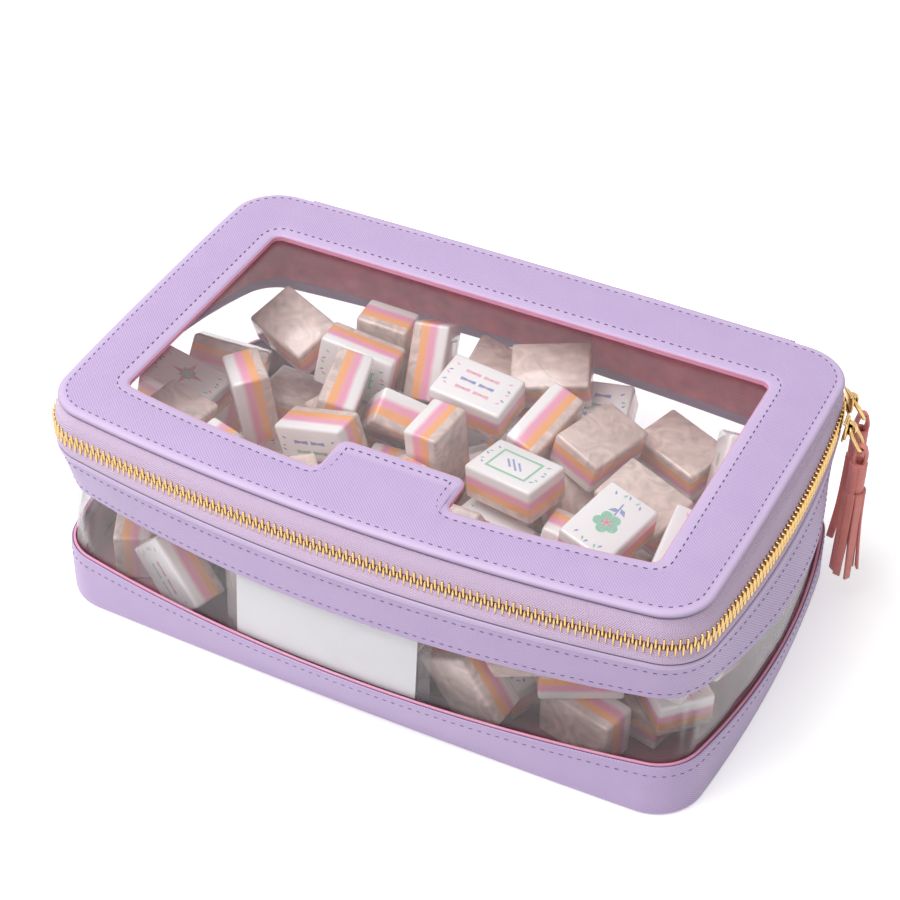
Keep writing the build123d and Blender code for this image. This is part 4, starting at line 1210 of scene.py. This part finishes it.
class BuildSliders(bpy.types.Operator):
    """Both sliders with their bails and ring pulls"""

    bl_idname = "tile_bag.sliders"
    bl_label = "Sliders"

    # How much the plates narrow from their middle to one end
    taper = 0.16

    def execute(self, context):
        parts = (("slider", self.body(), "slider", "slider_body"),
                 ("bail", self.bail(), "slider", "slider_bail"),
                 ("ring_pull", self.ring(), "pull", "pull_link"))
        for side in ("front", "rear"):
            for name, grids, body, node in parts:
                piece = join_grids(f"{side}_{name}", placed(grids, f"{side}_pull_swing"), material("metal"))
                finish_piece(piece, f"{side}_{body}", "gold_metal", f"{side}_{node}")
        return {"FINISHED"}

    def plate(self, x0, x1, crown, length, height):
        """A plate with a rounded, tapered outline and a crowned outer face: rings that grow and shrink."""
        angle = np.linspace(0, 2 * np.pi, 40, endpoint=False)
        cosine, sine = np.cos(angle), np.sin(angle)
        reach = (np.abs(cosine) ** 3.2 + np.abs(sine) ** 3.2) ** (-1 / 3.2)
        y, z = cosine * reach * length / 2, sine * reach * height / 2
        z = z * (1 - self.taper * y / (length / 2))
        rows = []
        for share, x in ((0.01, x0), (0.9, x0), (1.0, x0 + 0.15 * MM), (1.0, x1 - 0.25 * MM), (0.93, x1),
                         (0.7, x1 + crown * 0.6), (0.35, x1 + crown * 0.95), (0.01, x1 + crown)):
            rows.append(np.stack([np.full_like(y, x), y * share, z * share], -1))
        return np.stack(rows, 1)[::-1], True, False, True

    def body(self):
        """The two plates, the flanges over the chain and the bridge between the rows of teeth."""
        length, height = 9.4 * MM, 7.6 * MM
        grids = [
            self.plate(-2.15 * MM, -1.15 * MM, 0.3 * MM, length, height),
            self.plate(-8.6 * MM, -7.5 * MM, 0.1 * MM, length, height),
        ]
        s = np.linspace(-0.42, 0.42, 12)
        for sign in (1, -1):
            y = s * length
            z = sign * (height / 2 - 0.35 * MM) * (1 - self.taper * s * 2)
            line = np.stack([np.full_like(y, -2.4 * MM), y, z], -1)
            grids.append((tube(line, 0.5 * MM, 10, False), True, False, True))
        return grids

    def bail(self):
        """The arch that the ring hangs in: a bar from the plate's top, out and down again."""
        angle = np.linspace(0, np.pi, 24)
        start, reach, half_height, bar = -1.3 * MM, 2.9 * MM, 2.6 * MM, 0.62 * MM
        x, z = start + reach * np.sin(angle) ** 0.7, half_height * np.cos(angle)
        path = np.stack([x, np.zeros_like(angle), z], -1)
        widened = np.array([1, 1.9, 1])
        return [(tube(path, bar, 10, False) * widened, True, False, True)]

    def ring(self):
        """The long ring: two straight sides and two half circles of wire, leaning out."""
        wire, half_width, length = 0.8 * MM, 3.3 * MM, 10.2 * MM
        angle = np.linspace(0, np.pi, 20)
        across, up = half_width * np.cos(angle), half_width * np.sin(angle)
        y = np.concatenate([across, -across])
        z = np.concatenate([up - half_width + wire, -(length - half_width) - up])
        lean = math.radians(30)
        path = np.stack([-z * math.sin(lean), y, z * math.cos(lean)], -1)
        return [(tube(spaced(path, 1.0 * MM, True), wire, 12, True), True, True, False)]


class BuildTassels(bpy.types.Operator):
    """Both tassels: the leather loop, the wrapped head and the cut strips"""

    bl_idname = "tile_bag.tassels"
    bl_label = "Tassels"

    # How far the head hangs below the pivot, its length, and the leather's thickness
    drop, head, sheet = 6.2 * MM, 14.2 * MM, 1.1 * MM

    def execute(self, context):
        for number, side in enumerate(("front", "rear")):
            pivot = f"{side}_tassel_swing"
            for part, grids in (("loop", self.loop()), ("head", self.head_wrap()),
                                ("fringe", self.fringe(number))):
                name = f"{side}_tassel_{part}"
                piece = join_grids(f"{side}_{part}", placed(grids, pivot), material("tassel"))
                finish_piece(piece, f"{side}_tassel", "coral_leather", name)
        return {"FINISHED"}

    def ribbon(self, path, across, out, width):
        """A flat strip along a path: a rounded box section set square to the path."""
        corners = rounded_outline([(-0.5, -0.5), (0.5, -0.5), (0.5, 0.5), (-0.5, 0.5)], 0.2, 3)
        w = corners[:, 0][:, None, None] * (width[None, :, None] * across[None])
        t = corners[:, 1][:, None, None] * (self.sheet * out[None])
        return (path[None] + w + t)[::-1], True, False, True

    def loop(self):
        """A strap up one side of the ring's bar, over it and down the other, bulging between."""
        angle = np.linspace(0, np.pi, 14)
        inner = 1.6 * MM
        arc = np.stack([inner * np.cos(angle), np.zeros_like(angle), inner * np.sin(angle)], -1)
        down = np.linspace(0, 1, 10)[1:]
        bulge, sunk = 0.7 * MM, 1.5 * MM
        x, z = inner + bulge * np.sin(np.pi * down), -down * (self.drop + sunk)
        leg = np.stack([x, np.zeros_like(down), z], -1)
        path = np.concatenate([leg[::-1], arc, leg * (-1, 1, 1)])
        along = unit(np.gradient(path, axis=0))
        across = np.broadcast_to([0, 1.0, 0], path.shape)
        width = 2.6 * MM + 1.4 * MM * np.linspace(-1, 1, len(path)) ** 2
        return [self.ribbon(path, across, np.cross(along, across), width)]

    def head_wrap(self):
        """Leather rolled round itself: a sheet along a spiral of one and a half turns."""
        radius = settings().tassel.head_radius
        turn = np.linspace(0, 1, 70)
        angle = 1.3 + turn * 2 * np.pi * 1.55
        reach = radius - self.sheet * 1.1 * (1 - turn) ** 0.8 * 1.5
        rows = []
        for share, grow in ((0, -self.sheet), (0, -0.25 * MM), (0.03, 0), (0.5, 0.05 * MM),
                            (0.97, 0), (1.0, 0), (1.0, -self.sheet), (0.5, -self.sheet)):
            r = reach + grow
            height = -self.drop - share * self.head
            rows.append(np.stack([r * np.cos(angle), r * np.sin(angle), np.full_like(r, height)], -1))
        return [(np.stack(rows)[::-1], True, False, True)]

    def fringe(self, seed):
        """Strips cut from the wrapped leather: each starts on the head's curve and hangs freely."""
        tassel = settings().tassel
        rng = np.random.default_rng(40 + seed)
        grids = []
        for layer, (count, radius, length) in enumerate((
                (tassel.strips, tassel.head_radius - self.sheet / 2, 44 * MM),
                (4, tassel.head_radius - self.sheet * 2, 42 * MM))):
            width = 2 * np.pi * radius / count * 0.98
            for k in range(count):
                angle = 2 * np.pi * (k + 0.5 * layer) / count
                share = np.linspace(0, 1, 16)
                flare = rng.uniform(0.3, 2.6) * MM
                sway = rng.uniform(-1.6, 1.6) * MM
                out = np.array([np.cos(angle), np.sin(angle), 0])
                across = np.array([-np.sin(angle), np.cos(angle), 0])
                drop = self.drop + self.head - 0.6 * MM + share * (length - rng.uniform(0, 5) * MM)
                local = np.stack([radius + flare * share**1.6, sway * share**2, -drop], 1)
                path = local @ np.stack([out, across, (0, 0, 1)])
                twist = (rng.uniform(-0.5, 0.5) * share**1.5)[:, None]
                turned_across = across * np.cos(twist) + out * np.sin(twist)
                turned_out = out * np.cos(twist) - across * np.sin(twist)
                grids.append(self.ribbon(path, turned_across, turned_out, width * (1 - 0.06 * share)))
        return grids


def tile_places(node):
    """Centre and axes of each tile of a node, from its loose solids.

    Corners at one place are one, and the lowest number spreads over each solid's triangles. The
    axes are the main directions of a solid's corners: along its length, width and thickness.
    """
    mesh = frame["nodes"][node].data
    mesh.calc_loop_triangles()
    tris = mesh_values(mesh.loop_triangles, "vertices", 3, np.int32)
    points = mesh_values(mesh.vertices, "co", 3)
    unique, back = np.unique(np.round(points / MM, 3), axis=0, return_inverse=True)
    tris = back.reshape(-1)[tris]
    label = np.arange(len(unique))
    rounds_to_spread = 40
    for _ in range(rounds_to_spread):
        low = label[tris].min(axis=1)
        np.minimum.at(label, tris.ravel(), np.repeat(low, 3))
    places = []
    for one in np.unique(label):
        corners = unique[label == one] * MM
        centre = corners.mean(0)
        _, vectors = np.linalg.eigh(np.cov((corners - centre).T))
        axes = vectors.T[::-1]
        axes[2] = np.cross(axes[0], axes[1])
        places.append((centre, axes))
    return places


def tile_template(half, radius):
    """A box with rounded edges: each point of a cube's grid is pushed out from an inner box."""
    core, grids = half - radius, []
    steps = np.array([-1, -0.55, 0])
    lines = [np.concatenate([steps * radius - c, -steps[::-1] * radius + c]) for c in core]
    count = len(lines[0])
    for axis in range(3):
        first, second = (axis + 1) % 3, (axis + 2) % 3
        a, b = np.meshgrid(lines[first], lines[second])
        for sign in (-1, 1):
            points = np.empty(a.shape + (3,))
            points[..., first], points[..., second], points[..., axis] = a, b, sign * half[axis]
            if sign < 0:
                points = points[:, ::-1]
            near = np.clip(points, -core, core)
            grids.append(near + radius * unit(points - near))
    points = np.concatenate([g.reshape(-1, 3) for g in grids])
    cells, _ = grid_cells(count, count, False, False)
    faces = np.concatenate([cells + count**2 * k for k in range(len(grids))])
    unique, back = np.unique(np.round(points / MM, 5), axis=0, return_inverse=True)
    return unique * MM, back.reshape(-1)[faces]


INKS = {
    "rose": srgb(222, 84, 128),
    "pink": srgb(238, 150, 176),
    "green": srgb(84, 190, 146),
    "violet": srgb(128, 96, 190),
    "blue": srgb(84, 110, 190),
    "red": srgb(214, 60, 76),
}


def disc(x, y, radius, sides=14):
    """A flat disc as a fan of triangles round its middle."""
    angle = np.arange(sides) / sides * 2 * np.pi
    rim = np.stack([x + radius * np.cos(angle), y + radius * np.sin(angle)], 1)
    points = np.concatenate([[(x, y)], rim])
    k = np.arange(sides)
    return points, np.stack([np.zeros(sides, int), k + 1, (k + 1) % sides + 1], 1)


def circlet(x, y, outer, inner):
    """A flat ring between two circles."""
    sides = 20
    angle = np.arange(sides) / sides * 2 * np.pi
    circle = np.stack([np.cos(angle), np.sin(angle)], 1)
    points = np.concatenate([circle * outer, circle * inner]) + (x, y)
    k = np.arange(sides)
    after = (k + 1) % sides
    halves = [(k, after, k + sides), (after, after + sides, k + sides)]
    return points, np.concatenate([np.stack(half, 1) for half in halves])


def turned(outline, x, y, turn):
    """Flat points turned about the origin and set at a place."""
    c, s = math.cos(turn), math.sin(turn)
    return np.array(outline) @ np.array([[c, s], [-s, c]]) + (x, y)


def bar(x, y, width, height, turn=0.0, waist=0.0):
    """A flat bar, drawn in at its middle by a waist, turned about its own place."""
    w, h, middle = width / 2, height / 2, width / 2 * (1 - waist)
    outline = [(-w, -h), (w, -h), (middle, 0), (w, h), (-w, h), (-middle, 0)]
    return turned(outline, x, y, turn), np.array([(0, 1, 2), (0, 2, 5), (5, 2, 3), (5, 3, 4)])


def leaf(x, y, length, width, turn):
    """A pointed leaf from its stalk: a diamond, widest two fifths of the way up."""
    widest = length * 0.4
    outline = [(0, 0), (widest, width / 2), (length, 0), (widest, -width / 2)]
    return turned(outline, x, y, turn), np.array([(0, 3, 2), (0, 2, 1)])


def motif(kind, number):
    """The flat shapes of a tile's print, in millimetres about the face's middle, with their inks.

    They are the plain signs of each suit: circles, canes, counting bars, a compass star, a frame
    and a blossom, between two sprigs at the ends of the face.
    """
    first, second, third = [("rose", "green", "violet"), ("green", "blue", "rose"),
                            ("violet", "rose", "green"), ("blue", "pink", "red")][number % 4]
    shapes = []
    if kind == "dot":
        spots = {0: [(0, 0)], 1: [(0, 4.5), (0, -4.5)], 2: [(-4, 5), (0, 0), (4, -5)],
                 3: [(-3.6, 4.2), (3.6, 4.2), (-3.6, -4.2), (3.6, -4.2)]}[number % 4]
        size = 4.4 if len(spots) == 1 else 2.7
        ring = size * 0.52
        for k, (x, y) in enumerate(spots):
            ink = (first, second)[k % 2]
            shapes += [(circlet(x, y, size, size * 0.72), ink), (disc(x, y, size * 0.32), third)]
            shapes += [(disc(x + ring * math.cos(a), y + ring * math.sin(a), size * 0.11, 8), ink)
                       for a in np.arange(6) * math.pi / 3]
    elif kind == "bamboo":
        columns = 2 + number % 2
        for k in range(columns):
            x = (k - (columns - 1) / 2) * 4.4
            for y in (4.0, -4.0):
                cane = bar(x, y, 1.7, 6.6, 0, 0.45)
                shapes += [(cane, (second, first)[k % 2]), (disc(x, y, 0.5, 8), third)]
    elif kind == "character":
        count = 1 + number % 3
        shapes += [(bar(0, 6.6 - 2.5 * k, 9.5 - 1.6 * k, 0.95, 0.05, 0.3), first) for k in range(count)]
        shapes += [(bar(0, -5.0, 7.6, 0.8), second), (bar(0, -8.0, 7.6, 0.8), second)]
        shapes += [(bar(x, -6.5, 0.8, 5.2, 0.08), second) for x in (-3.4, 0, 3.4)]
        shapes += [(disc(0, -1.2, 1.1, 10), third)]
    elif kind == "wind":
        for k in range(8):
            turn = k * math.pi / 4
            shapes.append((leaf(0, 0, 7.4 if k % 2 == 0 else 4.2, 2.2, turn), (first, second)[k % 2]))
        shapes.append((circlet(0, 0, 3.0, 2.5), third))
    elif kind == "dragon":
        for x, y, w, h in ((0, 9, 12.6, 1.0), (0, -9, 12.6, 1.0), (-5.8, 0, 1.0, 17), (5.8, 0, 1.0, 17)):
            shapes.append((bar(x, y, w, h), first))
        shapes += [(bar(0, y, 7.6 - abs(y) * 0.9, 0.8, math.pi / 4), second) for y in (-2.6, 0, 2.6)]
    else:
        for k in range(5):
            turn = k * 2 * math.pi / 5 + math.pi / 2
            x, y = 3.1 * math.cos(turn), 3.1 * math.sin(turn)
            shapes += [(disc(x, y + 1.5, 2.2, 12), first), (leaf(0, 1.5, 3.6, 0.7, turn), third)]
        shapes += [(disc(0, 1.5, 1.0, 10), third), (bar(0.3, -6, 0.6, 6.5, 0.1), second)]
        shapes += [(leaf(0, -6, 4.2, 2.0, 0.6), second), (leaf(0, -7, 4.2, 2.0, 2.5), second)]
    for end in (1, -1):
        for k in (-2, -1, 0, 1, 2):
            y, turn = end * (12.2 - 0.35 * k * k), end * (1.1 + 0.9 * (k % 2))
            shapes.append((leaf(k * 2.7, y, 2.3, 0.95, turn), (second, first)[k % 2]))
    return shapes


# Roughly where tiles on top of the heap lie, in millimetres, and where their printed faces look
FACES = [
    ((77, 7, 61), (0, 0, -1)), ((-118, -4, 55), (0, 0, 1)),
    ((-7, 60, 55), (0, 0, -1)), ((48, 30, 63), (0, 0, -1)),
    ((74, 53, 51), (0, 0, -1)), ((100, 39, 61), (-2, -1, 0)),
    ((-92, 42, 61), (0, 0, -1)), ((34, 59, 53), (0, 0, 1)),
    ((-57, 32, 63), (0, -1, 0)), ((-56, 53, 59), (0, 1, 0)),
    ((-33, 49, 62), (1, 0, 0)), ((-88, -2, 59), (-1, -1, 0)),
    ((-28, 8, 63), (0, 1, 1)), ((-2, 26, 71), (0, 0, 1)),
    ((-51, 7, 67), (1, 0, 0)), ((-3, -6, 67), (-1, 0, 0)),
    ((26, 28, 63), (-1, 0, 0)), ((30, -6, 65), (0, 0, 1)),
    ((74, -24, 72), (0, 0, 1)), ((104, -19, 69), (0, 0, 1)),
]
FACE_REACH = 9 * MM


class BuildTiles(bpy.types.Operator):
    """The heap of layered tiles with their printed faces"""

    bl_idname = "tile_bag.tiles"
    bl_label = "Tiles"

    def execute(self, context):
        tiles = settings().tiles
        rng = np.random.default_rng(tiles.seed)
        half = np.array([31.5, 22.0, 15.0]) / 2 * MM
        template, cells = tile_template(half, tiles.edge_radius)
        for name in ("dot", "bamboo", "character", "wind", "dragon", "flower"):
            node = f"{name}_tiles"
            centres, axes = [np.array(values) for values in zip(*tile_places(node))]
            flips = np.where(rng.random(len(centres)) < 0.5, 1.0, -1.0)
            for start, way in FACES:
                near = np.linalg.norm(centres - np.array(start) * MM, axis=1)
                one = int(np.argmin(near))
                if near[one] < FACE_REACH:
                    flips[one] = 1.0 if axes[one, 2] @ np.array(way) > 0 else -1.0
            axes[:, 1:] *= flips[:, None, None]
            points, faces = scattered(template, [cells], centres, axes)
            depth = np.tile((template[:, 2] / half[2] + 1) / 2, len(centres))
            piece = mesh_piece(f"{name}_tile_bodies", points, faces, material("tile"),
                               marks={"depth": depth})
            finish_piece(piece, "case", "tile_acrylic", node)
            self.prints(name, centres, axes, half)
        return {"FINISHED"}

    def prints(self, name, centres, axes, half):
        """Flat printed shapes just above each white face."""
        points, faces, inks, used = [], [], [], 0
        for number, (centre, axis) in enumerate(zip(centres, axes)):
            for layer, ((flat, tris), ink) in enumerate(motif(name, number)):
                height = half[2] + (0.02 + 0.004 * layer / 30) * MM
                points.append(centre + at_height(flat[:, ::-1] * (MM, -MM), height) @ axis)
                faces.append(tris + used)
                inks.append(np.tile((*INKS[ink], 1), (len(flat), 1)))
                used += len(flat)
        piece = mesh_piece(f"{name}_tile_prints", np.concatenate(points), [np.concatenate(faces)],
                           material("ink"), smooth=False, marks={"ink": np.concatenate(inks)})
        finish_piece(piece, "case", "tile_acrylic")


# What each of the frame's nodes that stay as they are is made of
PLAIN_NODES = {
    "base_panel": "leather_plain",
    "base_board": "board",
    # The base lining takes the darker copy of the satin, with shade painted in
    "base_lining": "satin_shaded",
    "lid_lining": "satin_plain",
    "lower_zip_stops": "metal",
    "upper_zip_stops": "metal",
    "card_pocket": "clear",
    "pocket_welt": "clear",
    "label_card": "card",
}


class DressPlainNodes(bpy.types.Operator):
    """Gives the nodes that are kept as they are their finish"""

    bl_idname = "tile_bag.plain_nodes"
    bl_label = "Kept nodes"

    def execute(self, context):
        for node, name in PLAIN_NODES.items():
            mesh = frame["nodes"][node].data
            mesh.materials.clear()
            mesh.materials.append(material(name))
        return {"FINISHED"}


class BuildStage(bpy.types.Operator):
    """Pale floor, soft studio light and the camera"""

    bl_idname = "tile_bag.stage"
    bl_label = "Stage"

    def execute(self, context):
        self.floor()
        self.world()
        self.lamps()
        self.camera()
        context.scene.view_settings.view_transform = "Standard"
        return {"FINISHED"}

    def floor(self):
        """A wide white floor, seen a little brighter than it is lit, so that it meets the backdrop."""
        size = 6.0
        corners = np.array([(-size, -size, 0), (size, -size, 0), (size, size, 0), (-size, size, 0)])
        shader = Shader("floor")
        white = (0.93, 0.93, 0.93, 1)
        shader.set(Base_Color=white, Roughness=0.9, Specular_IOR_Level=0.1)
        glow = shader.math("MULTIPLY", shader.seen(), 0.46)
        shader.set(Emission_Color=(1, 1, 1, 1), Emission_Strength=glow)
        corners = corners - (0, 0, 0.02 * MM)
        floor = mesh_piece("floor", corners, [np.array([[0, 1, 2, 3]])], shader.material)

    def world(self):
        """A white backdrop where it is seen, and a weaker white light on everything."""
        world = bpy.data.worlds.new("studio")
        bpy.context.scene.world = world
        nodes = Nodes(world)
        strength = nodes.add("ShaderNodeMix", {0: nodes.seen(), 2: 0.42, 3: 1.0})
        nodes.feed(nodes.tree.nodes["Background"], {"Strength": strength, "Color": (1, 1, 1, 1)})

    def lamps(self):
        """A large soft lamp up on the left, and a weak one in front."""
        for name, place, size, power in (("key", (-0.5, -0.45, 1.45), 1.1, 21.5),
                                         ("fill", (-0.2, -1.4, 0.8), 1.0, 0.5)):
            data = bpy.data.lights.new(name, "AREA")
            data.size, data.energy = size, power
            lamp = linked(name, data)
            lamp.location = place
            aim = np.array([0, 0, 0.05]) - place
            lamp.rotation_mode = "QUATERNION"
            lamp.rotation_quaternion = Vector(aim).to_track_quat("-Z", "Y")

    def camera(self):
        """The photograph's view: focal length in pixels of a 900 pixel frame, pitch, yaw and roll."""
        focal, frame_width = 2153.0, 900.0
        pitch, yaw, roll = [math.radians(v) for v in (40.0, 26.16, 0.7)]
        distance, shift_right, shift_up = 864.3 * MM, -0.6 * MM, 49.2 * MM
        right = np.array([math.cos(yaw), math.sin(yaw), 0])
        level = np.array([math.sin(yaw), -math.cos(yaw), 0])
        back = level * math.cos(pitch) + (0, 0, math.sin(pitch))
        up = np.cross(back, right)
        turned_right = right * math.cos(roll) + up * math.sin(roll)
        turned_up = up * math.cos(roll) - right * math.sin(roll)
        place = back * distance + right * shift_right + up * shift_up
        data = bpy.data.cameras.new("camera")
        data.sensor_width = 36.0
        data.lens = focal / frame_width * data.sensor_width
        data.clip_start, data.clip_end = 0.05, 20.0
        camera = linked("camera", data)
        matrix = np.eye(4)
        matrix[:3] = np.stack([turned_right, turned_up, back, place], 1)
        camera.matrix_world = Matrix(matrix.tolist())
        bpy.context.scene.camera = camera


OPERATORS = [
    BuildStage, BuildLowerBand, BuildClearWall, BuildUpperBand, BuildZip, BuildLid, BuildHinge,
    BuildSliders, BuildTassels, BuildTiles, DressPlainNodes,
]
GROUPS = [
    LeatherSettings, TrimSettings, ZipSettings, ThreadSettings, TileSettings, TasselSettings, BagSettings,
]


class TileBagPanel(bpy.types.Panel):
    """Lists the bag's pieces and their settings in the sidebar"""

    bl_idname = "VIEW3D_PT_tile_bag"
    bl_label = "Tile bag"
    bl_space_type = "VIEW_3D"
    bl_region_type = "UI"
    bl_category = "Tile Bag"

    def draw(self, context):
        for operator in OPERATORS:
            self.layout.operator(operator.bl_idname)
        for group in ("leather", "trim", "zip", "thread", "tiles", "tassel"):
            box = self.layout.box()
            values = getattr(context.scene.tile_bag, group)
            for name in values.__annotations__:
                box.prop(values, name)


def register():
    for cls in GROUPS + OPERATORS + [TileBagPanel]:
        bpy.utils.register_class(cls)
    bpy.types.Scene.tile_bag = PointerProperty(
        type=BagSettings, name="Tile bag", description="The bag's settings"
    )


def unregister():
    del bpy.types.Scene.tile_bag
    for cls in reversed(GROUPS + OPERATORS + [TileBagPanel]):
        bpy.utils.unregister_class(cls)


def main():
    register()
    for operator in OPERATORS:
        getattr(bpy.ops.tile_bag, operator.bl_idname.split(".")[1])()
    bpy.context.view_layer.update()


if __name__ == "__main__":
    main()
